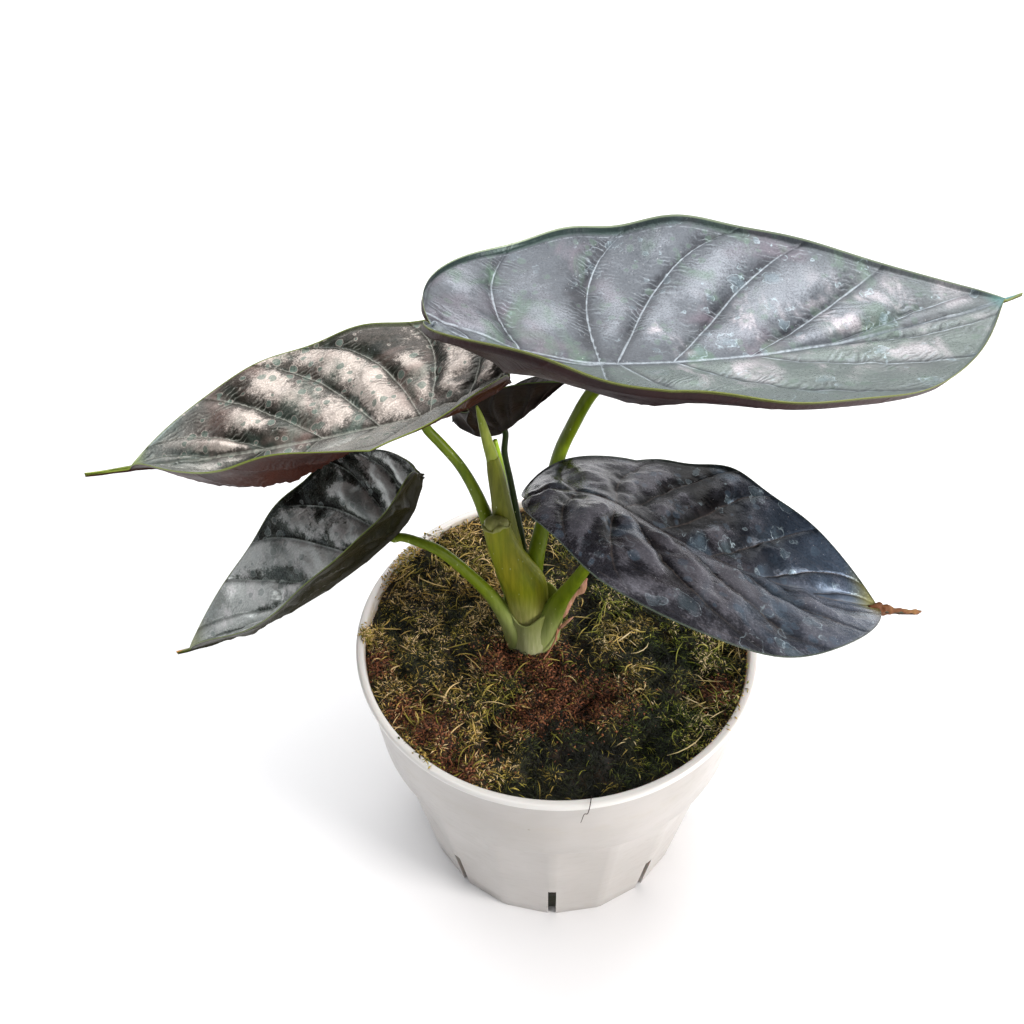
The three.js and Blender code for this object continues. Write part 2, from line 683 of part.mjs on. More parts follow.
function add(name, geometry, colourName) {
  const [color, roughness] = COLOURS[colourName];
  const material = new THREE.MeshStandardMaterial({ color, roughness, metalness: 0 });
  const mesh = new THREE.Mesh(geometry, material);
  mesh.name = name;
  plant.add(mesh);
}

const crownCut = makeCrown(GAP);
const newLeafCuts = [newSheath(GAP), newRoll(GAP)];
const stumpCut = stump(GAP);
const core = [crownCut, stumpCut, ...newLeafCuts];

add('pot', makePot(), 'pot');
add('soil', makeSoil(), 'soil');
add('crown', makeCrown(), 'crown');
add('new_leaf', cut(join(newSheath(), newRoll()), [crownCut]), 'new_leaf');
add('stump', cut(stump(), [crownCut, ...newLeafCuts]), 'stump');
add('stalk_upper_right', cut(makeStalk('upper_right'), core), 'stalk');
add('stalk_upper_left', cut(makeStalk('upper_left'), core), 'stalk');
add('stalk_lower_left', cut(makeStalk('lower_left'), [...core, makeStalk('upper_left', GAP)]), 'stalk');
add('stalk_lower_right', cut(makeStalk('lower_right'), [...core, makeStalk('upper_right', GAP)]), 'stalk');
add('stalk_back', cut(makeStalk('back'), [...core, makeStalk('upper_right', GAP)]), 'stalk_back');
add('bud_leaf', cut(
  rod(BUD_LEAF, { steps: 8, sides: 7 }),
  [...core, makeStalk('back', GAP), makeStalk('upper_right', GAP)],
), 'bud_leaf');
add('dried_sheath', cut(
  rod(DRIED_SHEATH, { steps: 14, sides: 8, thickness: DRIED_THICKNESS }),
  [...core, makeStalk('lower_right', GAP)],
), 'dried_sheath');
Object.entries(BLADES).forEach(([name, leaf]) => {
  add(`blade_${name}`, makeBlade(leaf), `blade_${name}`);
});

export default plant;
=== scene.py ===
"""Potted alocasia: five quilted, metallic leaves on green stalks that rise from one crown
in mossy soil, in a white nursery pot. Shapes are worked out in millimetres."""
import bpy
import numpy as np
from mathutils import Matrix, Vector


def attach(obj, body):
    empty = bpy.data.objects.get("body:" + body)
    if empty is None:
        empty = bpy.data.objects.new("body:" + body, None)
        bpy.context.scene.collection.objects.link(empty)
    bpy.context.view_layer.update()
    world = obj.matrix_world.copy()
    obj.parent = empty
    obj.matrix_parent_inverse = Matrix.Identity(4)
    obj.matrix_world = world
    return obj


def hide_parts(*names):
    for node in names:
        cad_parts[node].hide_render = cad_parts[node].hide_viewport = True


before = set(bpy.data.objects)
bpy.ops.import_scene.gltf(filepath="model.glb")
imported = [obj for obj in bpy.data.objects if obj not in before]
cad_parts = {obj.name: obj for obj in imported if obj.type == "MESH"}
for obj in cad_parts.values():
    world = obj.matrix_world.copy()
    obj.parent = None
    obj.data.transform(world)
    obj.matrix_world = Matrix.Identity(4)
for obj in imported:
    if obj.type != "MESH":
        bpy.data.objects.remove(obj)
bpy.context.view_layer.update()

MM = 0.001

POT = dict(
    height=115, rim_radius=75, lip_height=3.2, band_top_radius=73.6, band_bottom_radius=70.4,
    band_bottom=76, shoulder=73, shoulder_radius=67.4, base_radius=56.4, wall=1.6, floor=2,
    facets=18, slot_width=3.2, slot_height=27, slot_depth=7,
)
CROWN_X, CROWN_Y = -8.6, 1.6
CROWN_FOOT, CROWN_HOLLOW, COLLAR_LEVEL = 98, 112, 130.5
# Height and radius of the crown, from its foot up.
CROWN_PROFILE = [
    [98, 8.6], [104, 9.7], [109, 10.2], [114, 9.9], [118, 9.4], [122, 9.1], [127, 9.3], [131, 9.7],
    [134.5, 9.8],
]
SOIL_LEVEL = 108.6
# Radii: the soil's top, where growth is planted and how far it may reach, and the bare ring
# round the middle of the crown.
SOIL_EDGE, PLANTED_TO, GROWTH_LIMIT, CROWN_RING = 71.4, 70.5, 71.6, 9.0
# Rings of the soil's wall from the top down: height, radius and whether it is faceted.
SOIL_WALL = [(96, 70.0, False), (76, 68.4, False), (72.6, 65.3, True), (2.6, 54.4, True)]
MOSS_TUFTS, LEAFLETS_IN_TUFT = 2300, 12
# Place in metres, angles in degrees, focal length and picture in dots, sensor in millimetres.
CAMERA = dict(place=(0, -0.246, 0.405), pitch=43.0, yaw=-3.5, roll=-1.7, focal_length=1000,
              picture=1024, sensor=36)

# A blade's place at its stalk, then its outline, its bearing in degrees, how it bends along the
# midrib, how each half folds, curls and sags, the wave of its margin, the depth of its quilting
# and puckers, how far its margin rolls up, and its grid of rows and of columns in each half.
BLADES = {
    "upper_right": dict(
        at=(17.5, 4, 232.6), front=124.5, drip=6, back=60.5, notch=55.5, half_width=67.4,
        lobe=14.3, widest=3.2, fullness=2.07, shoulder=1.09, drip_width=2.6,
        heading=5.9, pitch=-3.2, roll=0.7, bend=-10.9, rise=-26.5, sweep=14.7, twist=9.1,
        left=dict(width=1.07, fold=-7.3, open=7.2, curl=23.4, curl_back=0, ruffle=(-0.6, -0.4, 0, -1.1)),
        right=dict(width=1.08, fold=15, open=0, curl=24.6, curl_back=-13.2, ruffle=(0.4, 0.6, 0.6, 0.6)),
        ruffle_length=90, relief=2.4, roll_up=1.7, grid=(200, 56),
    ),
    "upper_left": dict(
        at=(-43.6, 8, 209), front=106, drip=17, back=34, notch=31, half_width=50.3,
        lobe=10.3, widest=5.4, fullness=2.52, shoulder=0.9, drip_width=3.2,
        heading=179.7, pitch=-16.7, roll=11.4, bend=-6.5, rise=-25.4, sweep=0.5, twist=-0.6,
        left=dict(width=1.03, fold=26.7, open=28.3, curl=-25.9, curl_back=-33.6,
                  ruffle=(2.2, 1.2, 0.3, -0.5), sag=(16.3, 0.54, 0.37)),
        right=dict(width=1.01, fold=16.6, open=13.2, curl=2.3, curl_back=2.4, ruffle=(0.1, 0.3, -0.6, -0.9)),
        ruffle_length=80, relief=2.8, crumple=1.4, roll_up=0.4, grid=(190, 54),
    ),
    "lower_left": dict(
        at=(-56.7, -5, 168.4), front=87.4, drip=5.2, back=27.5, notch=24, half_width=40.7,
        lobe=9.4, widest=7.6, fullness=2.19, shoulder=0.84, drip_width=2.6,
        heading=202.9, pitch=-39.4, roll=14.2, bend=-23.5, rise=-45.5, sweep=-12.7, twist=0.8,
        left=dict(width=0.77, fold=36.7, open=15.9, curl=-8.8, curl_back=-2.5, ruffle=(5, -0.8, -1.2, -1),
                  sag=(5.2, 0.68, 0.19)),
        right=dict(width=1.01, fold=25.9, open=5, curl=13, curl_back=0, ruffle=(0, 0.6, 1.2, -0.2)),
        ruffle_length=80, relief=2.0, crumple=2.2, roll_up=0.3, grid=(170, 46),
    ),
    "lower_right": dict(
        at=(19.2, -32, 207.2), front=89.2, drip=17.5, back=29.5, notch=26.2, half_width=45.1,
        lobe=9.1, widest=11.5, fullness=2.34, shoulder=0.94, drip_width=2.8,
        heading=-20.8, pitch=-25.6, roll=-47.7, bend=-23, rise=57, sweep=23.7, twist=6.5,
        left=dict(width=1.05, fold=20.2, open=30.7, curl=6.6, curl_back=-7.8, ruffle=(-1, 0, 0.1, 0.8)),
        right=dict(width=1.01, fold=-8.3, open=19.2, curl=-43, curl_back=-9.5, ruffle=(0.5, 1.3, 0.3, -0.1)),
        ruffle_length=64, relief=1.7, crumple=3.0, roll_up=0.5, grid=(180, 50),
    ),
    "back": dict(
        at=(-19.1, 22, 194.1), front=28.4, drip=1.5, back=19, notch=16.5, half_width=17,
        lobe=6, widest=3.7, fullness=2.1, shoulder=0.9, drip_width=2.2,
        heading=-1.6, pitch=41.2, roll=-26.2, bend=-3, rise=-98.2, sweep=-3.6, twist=-1.4,
        left=dict(width=1, fold=28, open=0, curl=8, curl_back=0, ruffle=(0, 0, 0, 0)),
        right=dict(width=1.01, fold=37.1, open=3.2, curl=13.7, curl_back=0, ruffle=(0, 0, 0, 0)),
        ruffle_length=60, relief=0.9, roll_up=0.3, grid=(100, 30),
    ),
}

# Side veins from the lobes to the tip: where each leaves the midrib, how far it leans toward
# the tip on its way to the margin, and how far more it sweeps near the margin. In backs of
# the blade up to the one at the stalk, and from there on in fronts.
VEINS = [
    (-0.98, -0.55, 0.16), (-0.74, -0.41, 0.2), (-0.46, -0.33, 0.25), (-0.08, -0.06, 0.4),
    (0, 0.23, 0.23), (0.137, 0.38, 0.1), (0.33, 0.45, 0), (0.52, 0.43, 0),
    (0.7, 0.32, 0), (0.86, 0.2, 0), (1.1, 0, 0),
]
FIRST_VEIN = 4

# A stalk's path from its blade down to the crown, and its radius at the top, a little past
# the middle and at the foot.
STALKS = {
    "upper_right": dict(
        path=[[10.5, 7.5, 219.3], [4.6, 10.5, 203.4], [0.7, 12.5, 190.3], [-2.7, 12, 171.8],
              [-5.5, 8.5, 157], [-7.2, 4.5, 149.6], [-9.2, 1, 128]],
        radius=(2.0, 2.4, 3.4)),
    "upper_left": dict(
        path=[[-42.2, 7.5, 204.4], [-38.0, 7, 198.6], [-32.2, 6, 190.2], [-27.6, 4.6, 180.4],
              [-24.2, 4.4, 168.1], [-20.4, 4.6, 148], [-14, 2.2, 124]],
        radius=(1.5, 1.8, 3.2)),
    "lower_left": dict(
        path=[[-53, -4.6, 167.2], [-46.4, -4.1, 164.1], [-39.8, -3.7, 159.3], [-26.4, -2.9, 141.1],
              [-20.4, -2.6, 128.6], [-14.2, -1.6, 113.5]],
        radius=(1.2, 1.8, 3.4)),
    "lower_right": dict(
        path=[[13.6, -24, 183.9], [9.2, -17, 165.2], [5.4, -11.4, 151.4], [1.6, -6.6, 138.6],
              [-1.6, -3.2, 128], [-4.2, -1.2, 115]],
        radius=(1.7, 2.2, 3.6)),
    "back": dict(
        path=[[-18.2, 18.8, 185.8], [-16.2, 15.7, 174.8], [-14.5, 12.5, 164], [-12.6, 8.8, 151],
              [-10.6, 3, 127.7]],
        radius=(1.1, 1.2, 2.2)),
}

# Rods: stations as x, y, z and radius.
STUMP = [
    [-9.6, 0, 121.5, 6.9], [-10.4, -0.4, 132.5, 7.6], [-11.6, -0.8, 141.6, 7.7],
    [-14.3, -1.2, 148.8, 6.9], [-17.2, -1.6, 157, 5.8], [-19.4, -2, 165.3, 5],
    [-20.4, -2, 170.7, 4.7],
]
STUMP_DEPTH = 0.8
STEM_CAP = [
    [-20.2, -2.0, 168.6, 4.1], [-20.3, -2.2, 171.4, 4.3], [-20.3, -2.3, 173.4, 3.5],
    [-20.3, -2.2, 174.6, 1.6],
]
NEW_SHEATH = [
    [-11, 1, 126, 4.8], [-13.8, 1.4, 140, 5], [-16.2, 1.9, 155.5, 4.6], [-17.7, 2.2, 167, 4],
    [-18.9, 2.8, 179, 3.3], [-20.4, 3.6, 190, 2.7], [-21.2, 4, 196, 2],
]
NEW_LEAF = [
    [-19.6, 3.2, 184, 2.1], [-21.2, 4, 195, 2.1], [-23, 5.2, 203, 1.7], [-24.6, 6.4, 210, 1.1],
    [-25.7, 7.2, 214.2, 0.35],
]
BUD_LEAF = [
    [-15.6, 6.4, 164, 1.2], [-17.5, 7, 178, 1.3], [-19.2, 8, 190, 1.3], [-20.4, 9, 199, 0.7],
]
DRIED_SHEATH = [
    [-0.4, -4.4, 113, 0.585], [0.2, -4.6, 117, 0.825], [0.9, -5, 122, 1.02],
    [1.6, -5.2, 127, 1.275], [3.8, -5.6, 133.6, 1.28], [7.2, -6, 141.2, 1.425],
    [9.8, -6, 145.6, 1.26], [10.4, -6, 149, 0.54],
]
DRIED_SPLIT = [
    [1.4, -5.6, 121.5, 0.3], [2.6, -6.4, 124.6, 0.6], [4.6, -6.6, 127.4, 0.55],
    [6.4, -6.4, 129.4, 0.2],
]
DRIED_THREAD = [
    [0.9, -5.6, 124, 0.35], [0.0, -6.8, 117, 0.35], [-2.2, -8.6, 112.4, 0.3],
    [-4.4, -11, 110.4, 0.2],
]
ROOT_HAIR = [
    [12.6, -69, 112.6, 0.16], [12.2, -72, 115.3, 0.16], [11.8, -74.6, 115.4, 0.16],
    [11.2, -75.4, 112.6, 0.15], [10.2, -74.2, 110, 0.14], [9.6, -74, 106.6, 0.12],
    [9.2, -73.6, 103.6, 0.1],
]


# Shapes

def ease(x, low, high):
    """Rises from 0 at low to 1 at high as 3t^2 - 2t^3, t being the share of the way."""
    t = np.clip((x - low) / (high - low), 0, 1)
    return t * t * (3 - 2 * t)


def cloud(x, y, size, seed):
    """Smooth noise between -1 and 1: random heights on a square lattice of the given
    spacing, eased from corner to corner."""
    lattice = np.random.default_rng(seed).uniform(-1, 1, (64, 64))
    i, j = np.floor(x / size).astype(int), np.floor(y / size).astype(int)
    across, up = ease(x / size - i, 0, 1), ease(y / size - j, 0, 1)
    low = lattice[i % 64, j % 64] * (1 - across) + lattice[(i + 1) % 64, j % 64] * across
    high = lattice[i % 64, (j + 1) % 64] * (1 - across) + lattice[(i + 1) % 64, (j + 1) % 64] * across
    return low * (1 - up) + high * up


def spline(stations, steps):
    """Centripetal Catmull-Rom line: cubics through the stations whose end slopes come from
    the neighbours, weighted by the roots of their distances. A fourth column, the radius,
    rides along."""
    knots = np.array(stations, float)
    knots = np.vstack([2 * knots[0] - knots[1], knots, 2 * knots[-1] - knots[-2]])
    place = np.linspace(0, len(stations) - 1, steps + 1)
    low = np.minimum(place.astype(int), len(stations) - 2)
    t = (place - low)[:, None]
    a, b, c, d = (knots[low + k] for k in range(4))
    gap = [np.sqrt(np.linalg.norm((q - p)[:, :3], axis=1))[:, None] for p, q in ((a, b), (b, c), (c, d))]
    start = ((b - a) / gap[0] - (c - a) / (gap[0] + gap[1]) + (c - b) / gap[1]) * gap[1]
    end = ((c - b) / gap[1] - (d - b) / (gap[1] + gap[2]) + (d - c) / gap[2]) * gap[1]
    return b + start * t + (3 * (c - b) - 2 * start - end) * t ** 2 + (2 * (b - c) + start + end) * t ** 3


def bell(x, middle, width):
    """A bump of height 1 round a middle angle, the same every full turn: e to the power of
    minus the square of the distance over the width, both in radians."""
    return np.exp(-((((x - middle + np.pi) % (2 * np.pi)) - np.pi) / width) ** 2)


def unit(vectors):
    """Each vector over its own length."""
    return vectors / np.maximum(np.linalg.norm(vectors, axis=-1, keepdims=True), 1e-9)


def strips(rows, columns):
    """Four-cornered faces between neighbours of a grid kept row by row, each row a ring."""
    i, j = np.meshgrid(np.arange(rows - 1), np.arange(columns), indexing="ij")
    k = (j + 1) % columns
    corners = [i * columns + j, i * columns + k, (i + 1) * columns + k, (i + 1) * columns + j]
    return np.stack(corners, -1).reshape(-1, 4)


def fan(ring, hub):
    """Triangles from a ring of indices to a hub, written as faces whose last corner repeats."""
    ring = np.asarray(ring)
    after = np.roll(ring, -1)
    return np.stack([ring, after, np.full_like(ring, hub), np.full_like(ring, hub)], -1)


def tube(rows, columns):
    """Faces of a closed tube: strips round its rings, and at each end a fan to a hub. The hubs
    are the two points after the rings."""
    total = rows * columns
    return np.vstack([
        strips(rows, columns),
        fan(np.arange(columns)[::-1], total),
        fan(np.arange(total - columns, total), total + 1),
    ])


def rod(stations, steps, sides, depth=1.0, swell=None, sink=(0.0, 0.0), toward=(0.0, -1.0, 0.0)):
    """Closed rod: rings round a smooth line, of the stations' radius, squashed front to back
    by depth and swelled by swell(share along, angle). Angles start across the line at the
    left and turn by way of the side that it faces. Each end closes on a point sunk into it.
    Returns points, faces, and for each point its share along and its angle."""
    line = spline(stations, steps)
    tangent = unit(np.gradient(line[:, :3], axis=0))
    across = unit(np.cross(toward, tangent))
    front = unit(np.cross(tangent, across))
    turns = np.arange(sides) / sides * 2 * np.pi
    share, angle = np.meshgrid(np.linspace(0, 1, steps + 1), turns, indexing="ij")
    radius = line[:, 3:4] * (1 if swell is None else swell(share, angle))
    grid = (line[:, None, :3] + across[:, None] * (radius * np.cos(angle))[..., None]
            + front[:, None] * (radius * depth * np.sin(angle))[..., None])
    hubs = [grid[0].mean(0) + tangent[0] * sink[0], grid[-1].mean(0) - tangent[-1] * sink[1]]
    points = np.vstack([grid.reshape(-1, 3), hubs])
    share = np.append(share.ravel(), [0, 1])
    angle = np.append(angle.ravel(), [0, 0])
    return points, tube(steps + 1, sides), share, angle


def facing_out(points, faces):
    """The faces turned so that their volume comes out positive."""
    a, b, c, d = (points[faces[:, k]] for k in range(4))
    volume = np.einsum("ij,ij->", a, np.cross(b, c)) + np.einsum("ij,ij->", a, np.cross(c, d))
    return faces if volume > 0 else faces[:, [0, 3, 2, 1]]


def placed(name, points, faces):
    """An object in the scene, in metres, from points in millimetres."""
    mesh = bpy.data.meshes.new(name)
    mesh.from_pydata((np.asarray(points) * MM).tolist(), [], faces)
    made = bpy.data.objects.new(name, mesh)
    bpy.context.scene.collection.objects.link(made)
    return made


def piece(name, points, faces, finish, node, fields=None):
    """A smooth object with number or vector fields on its points, which rides with the pot
    and stands for a node. Corners that repeat are dropped, and faces left with two."""
    corners = []
    for face in faces.tolist():
        kept = [p for k, p in enumerate(face) if p != face[k - 1]]
        if len(kept) > 2:
            corners.append(kept)
    made = placed(name, points, corners)
    mesh = made.data
    mesh.polygons.foreach_set("use_smooth", [True] * len(mesh.polygons))
    for field, values in (fields or {}).items():
        values = np.asarray(values, float)
        kind, key = ("FLOAT_VECTOR", "vector") if values.ndim == 2 else ("FLOAT", "value")
        mesh.attributes.new(field, kind, "POINT").data.foreach_set(key, values.ravel())
    mesh.materials.append(finish)
    mesh.update()
    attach(made, "root")
    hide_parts(node)
    return made


def closed_piece(name, points, faces, finish, node, fields=None):
    """A piece whose faces are first turned to face outward."""
    piece(name, points, facing_out(points, faces), finish, node, fields)


# Finishes

class Shade:
    """A number or vector that varies over a surface; sums and products add their nodes."""

    def __init__(self, finish, socket):
        self.finish, self.socket = finish, socket

    def _maths(self, operation, *values):
        """What a maths node makes of some values."""
        return self.finish.node("ShaderNodeMath", dict(operation=operation), dict(enumerate(values)))[0]

    def __add__(self, other):
        return self._maths("ADD", self, other)

    def __sub__(self, other):
        return self._maths("SUBTRACT", self, other)

    def __rsub__(self, other):
        return self._maths("SUBTRACT", other, self)

    def __mul__(self, other):
        return self._maths("MULTIPLY", self, other)

    def __truediv__(self, other):
        return self._maths("DIVIDE", self, other)

    def __pow__(self, other):
        return self._maths("POWER", self, other)

    def __abs__(self):
        return self._maths("ABSOLUTE", self)

    __radd__, __rmul__ = __add__, __mul__

    def most(self, other):
        """The larger of two."""
        return self._maths("MAXIMUM", self, other)

    def above(self, bound):
        """1 above a bound, 0 below it."""
        return self._maths("GREATER_THAN", self, bound)

    def sine(self):
        """The sine of this as radians."""
        return self._maths("SINE", self)

    def fraction(self):
        """What is left over the whole number below."""
        return self._maths("FRACT", self)

    def off_whole(self):
        """Distance from the nearest whole number."""
        return abs(self - self._maths("ROUND", self))

    def rise(self, low, high, start=0.0, end=1.0):
        """Goes from start to end as this goes from low to high, by 3t^2 - 2t^3."""
        settings = dict(interpolation_type="SMOOTHSTEP", clamp=True)
        values = {"Value": self, "From Min": low, "From Max": high, "To Min": start, "To Max": end}
        return self.finish.node("ShaderNodeMapRange", settings, values)["Result"]

    def parts(self):
        """The three parts of a vector."""
        outputs = self.finish.node("ShaderNodeSeparateXYZ", {}, {"Vector": self})
        return outputs["X"], outputs["Y"], outputs["Z"]

    def _vector(self, operation, values):
        """What a vector node makes of some values."""
        return self.finish.node("ShaderNodeVectorMath", dict(operation=operation), values)["Vector"]

    def scaled(self, x, y, z):
        """A vector with each part times its own number."""
        return self._vector("MULTIPLY", {0: self, 1: (x, y, z)})

    def pushed(self, other, by):
        """This vector plus another times a number."""
        return self._vector("ADD", {0: self, 1: self._vector("SCALE", {0: other, "Scale": by})})


class Outputs:
    """A node's outputs, each wrapped as a shade."""

    def __init__(self, finish, outputs):
        self.finish, self.outputs = finish, outputs

    def __getitem__(self, key):
        return Shade(self.finish, self.outputs[key])


class Finish:
    """One material: its nodes and the surface they end in."""

    def __init__(self, name):
        self.material = bpy.data.materials.new(name)
        self.material.use_nodes = True
        self.tree = self.material.node_tree
        self.tree.nodes.clear()

    def node(self, kind, settings, values):
        """A node of any type: its settings first, then the values or links of its sockets."""
        made = self.tree.nodes.new(kind)
        for key, value in settings.items():
            setattr(made, key, value)
        for key, value in values.items():
            if isinstance(value, Shade):
                self.tree.links.new(value.socket, made.inputs[key])
            else:
                made.inputs[key].default_value = value
        return Outputs(self, made.outputs)

    def field(self, name, number=False):
        """What the mesh carries on its points under a name."""
        outputs = self.node("ShaderNodeAttribute", dict(attribute_name=name), {})
        return outputs["Fac"] if number else outputs["Vector"]

    def place(self):
        """Place on the object, in metres."""
        return self.node("ShaderNodeTexCoord", {}, {})["Object"]

    def noise(self, where, scale, detail=3.0, roughness=0.55, distortion=0.0):
        """Soft noise: output 0 is a number round a half, output 1 a colour."""
        values = {"Vector": where, "Scale": scale, "Detail": detail, "Roughness": roughness}
        values["Distortion"] = distortion
        return self.node("ShaderNodeTexNoise", {}, values)

    def cells(self, where, scale, feature="F1"):
        """Round cells: output 0 is the distance to a cell's middle, output 1 its own colour."""
        return self.node("ShaderNodeTexVoronoi", dict(feature=feature), {"Vector": where, "Scale": scale})

    def mix(self, share, first, second, blend="MIX"):
        """The first colour turned into the second by a share; six digits stand for a colour."""
        first, second = (paint(c) if isinstance(c, str) else c for c in (first, second))
        settings = dict(data_type="RGBA", blend_type=blend)
        return self.node("ShaderNodeMix", settings, {"Factor": share, 6: first, 7: second})[2]

    def tinted(self, colour, share, tint):
        """The colour times a tint, by a share."""
        return self.mix(share, colour, tint, "MULTIPLY")

    def surface(self, colour, roughness, metallic=0.0, bump=None, depth=0.0, constants=None):
        """The finished surface, with a bump of the given depth in metres."""
        values = {"Base Color": colour, "Roughness": roughness, "Metallic": metallic}
        values.update(constants or {})
        if bump is not None:
            heights = {"Height": bump, "Distance": depth, "Strength": 1.0}
            values["Normal"] = self.node("ShaderNodeBump", {}, heights)["Normal"]
        shader = self.node("ShaderNodeBsdfPrincipled", {}, values)
        self.node("ShaderNodeOutputMaterial", {}, {"Surface": shader["BSDF"]})
        return self.material


WHITE = (1.0, 1.0, 1.0, 1.0)


def paint(code):
    """Linear colour from a six-digit screen colour."""
    screen = [int(code[k:k + 2], 16) / 255 for k in (0, 2, 4)]
    return tuple(c / 12.92 if c <= 0.04045 else ((c + 0.055) / 1.055) ** 2.4 for c in screen) + (1.0,)


def leaf_finish(name, leaf, far, valley_shade, middle, crest, tint, cool, vein, edge, under, under_rib,
                tip, end, wash, wash_from, wash_share, metallic, roughness, band="2e3a34",
                near_sheen_colour=None, sheen_skew=0.6, patches=1.0, spots=0.0, rings=0.0, crease=0.5,
                low=-0.35, high=0.45, tones=(), tip_length=7, far_edge=None, far_half_shade=0.0,
                gleam=0.0, gleam_colour="e8dfe2", gleam_size=0.075, raggedness=1.0):
    """A blade. Height of the relief, plus noise and a tilt that paints shade on the tip side of each
    pillow and sheen on the other, carries the colour from valley, a painted shade, at low to crest,
    a painted sheen, at high; tones lift or sink single strips between veins as painted sheen or
    shade, and the far half may be sunk into painted shade. Over that lie patches of tint and cool,
    a wash toward the tip, a paler near half that is painted sheen, gleams beside the midrib that
    are painted highlights, creases painted with shade on one side and a highlight on the other,
    dried water marks, dust, veins with a painted shadow along their tip side, a dark band of
    painted shade along the far margin, the tip and the edge; below, a dull underside with dark
    ribs. Far is the sign of the half away from the front. Noise scales are per millimetre."""
    made = Finish(name)
    number, across, share = made.field("rib").parts()
    flat = made.field("lie")
    along, side, height = flat.parts()
    plane = flat.scaled(1, 1, 0)
    gap = number.off_whole() * made.field("spacing", number=True)
    below = made.field("under", number=True)
    patch = made.noise(plane, 0.045, 3.0)[0]
    grain = made.noise(plane, 0.45, 5.0, 0.6)[0]
    mottle = made.noise(plane, 1.3, 4.0, 0.7)[0]
    # Painted sheen and shade: lighter just past each vein, darker toward the next vein on the tip side.
    pillow_sheen_and_shade = (0.5 - number.fraction()) * sheen_skew * share.rise(0.02, 0.2) * share.rise(0.99, 0.9)
    ragged = ((grain - 0.5) * 0.9 + (mottle - 0.5) * 0.6) * raggedness
    lifted = height + pillow_sheen_and_shade + (patch - 0.5) * 1.3 * patches + ragged
    # Painted shade: the far half can be sunk toward the valley colour.
    if far_half_shade:
        lifted = lifted + (side * far).rise(-1, 8) * along.rise(5, 20) * far_half_shade
    # Painted sheen and shade: some strips between veins are lifted toward the crest colour, others sunk
    # toward the valley colour.
    for strip, tone in tones:
        lifted = lifted + (1 - abs(number - strip - 0.5).rise(0.35, 0.6)) * tone
    # Painted shade and sheen: the valley colour is shade, the crest colour a sheen.
    colour = made.mix(lifted.rise(low, (low + high) / 2), valley_shade, middle)
    colour = made.mix(lifted.rise((low + high) / 2, high), colour, crest)
    blush = made.noise(plane, 0.035, 3.0, 0.6, 0.4)[0]
    colour = made.mix(blush.rise(0.5, 0.68) * 0.6, colour, tint)
    chill = made.noise(flat.scaled(1.3, 0.8, 0), 0.05, 3.0, 0.5, 0.8)[0]
    colour = made.mix(chill.rise(0.54, 0.7) * 0.6, colour, cool)
    toward = made.noise(plane, 0.08, 3.0)[0] * 16 + along - 8
    washed = toward.rise(leaf["front"] * wash_from, leaf["front"] * 0.97) * wash_share
    colour = made.mix(washed, colour, wash)
    # Painted sheen: a paler near half.
    if near_sheen_colour:
        near_half_sheen = (side * far).rise(0, -6.0) * lifted.rise(low - 0.6, high, 0.35, 0.95)
        colour = made.mix(near_half_sheen, colour, near_sheen_colour)
    # Painted highlight: pale gleams beside the midrib.
    if gleam:
        glow = made.noise(flat.scaled(1, 0.6, 0), gleam_size, 4.0, 0.6, 0.5)[0].rise(0.5, 0.66)
        glow = glow * across.rise(1, 5) * across.rise(34, 16) * along.rise(2, 16) * lifted.rise(low, high)
        colour = made.mix(glow * gleam, colour, gleam_colour)
    # Creases, 2.2 mm apart, lean across the strips between veins, and come and go; each is
    # painted with shade on one side and with a highlight on the other.
    run = (across + along * 0.45) / 2.2 + made.noise(plane, 0.09, 3.0)[0] * 5.0
    wrinkle = (run * (2 * np.pi)).sine()
    fade = gap.rise(11.0, 1.0) * share.rise(0.08, 0.25) * share.rise(0.97, 0.88)
    fade = fade * made.noise(plane, 0.13, 3.0)[0].rise(0.44, 0.62)
    colour = made.mix(wrinkle.rise(-0.5, -1.0) * fade * crease * 0.5, colour, valley_shade)
    colour = made.mix(wrinkle.rise(0.5, 1.0) * fade * crease * 0.4, colour, vein)
    shadow = made.mix(mottle.rise(0.35, 0.7), (0.55, 0.55, 0.55, 1), WHITE)
    colour = made.tinted(colour, 0.6, shadow)
    # Dried water marks: small filled spots, and two sizes of ragged rings with a thin film.
    warped = plane.pushed(made.noise(plane, 0.3, 2.0)[1], 2.0)
    cell = made.cells(warped, 0.24)
    chance = cell[1].parts()
    spread = chance[1] * 0.34 + 0.10
    chosen = chance[0].above(0.25)
    inside = (spread - cell[0]).rise(0.0, 0.06) * chosen
    rim = (1 - abs(spread - cell[0]).rise(0.0, 0.05)) * chosen
    if spots:
        colour = made.mix(inside * spots * 0.8, colour, cool)
        colour = made.mix(rim * spots * 0.5, colour, crest)
    if rings:
        bent = warped.pushed(made.noise(plane, 0.12, 3.0, 0.6)[1], 8.0)
        for scale, inner, outer, bound in ((0.07, 0.12, 0.30, 0.38), (0.17, 0.06, 0.24, 0.5)):
            wide = made.cells(bent, scale)
            chance = wide[1].parts()
            spread = chance[2] * outer + inner
            loop = (1 - abs(wide[0] - spread).rise(0.0, scale * 0.28)) * chance[1].above(bound)
            film = (spread - wide[0]).rise(0.0, 0.1) * chance[1].above(bound + 0.15)
            toward_tip = along.rise(-0.2 * leaf["front"], 0.7 * leaf["front"], 0.25, 1.0) * rings
            colour = made.mix(film * toward_tip * 0.4, colour, "8ba3ae")
            colour = made.mix(loop * grain.rise(0.4, 0.6) * toward_tip, colour, "b9ccd4")
    speck = made.cells(plane, 0.9)
    dust = speck[0].rise(0.16, 0.08) * speck[1].parts()[0].above(0.86)
    colour = made.mix(dust * 0.55, colour, "d9d9da")
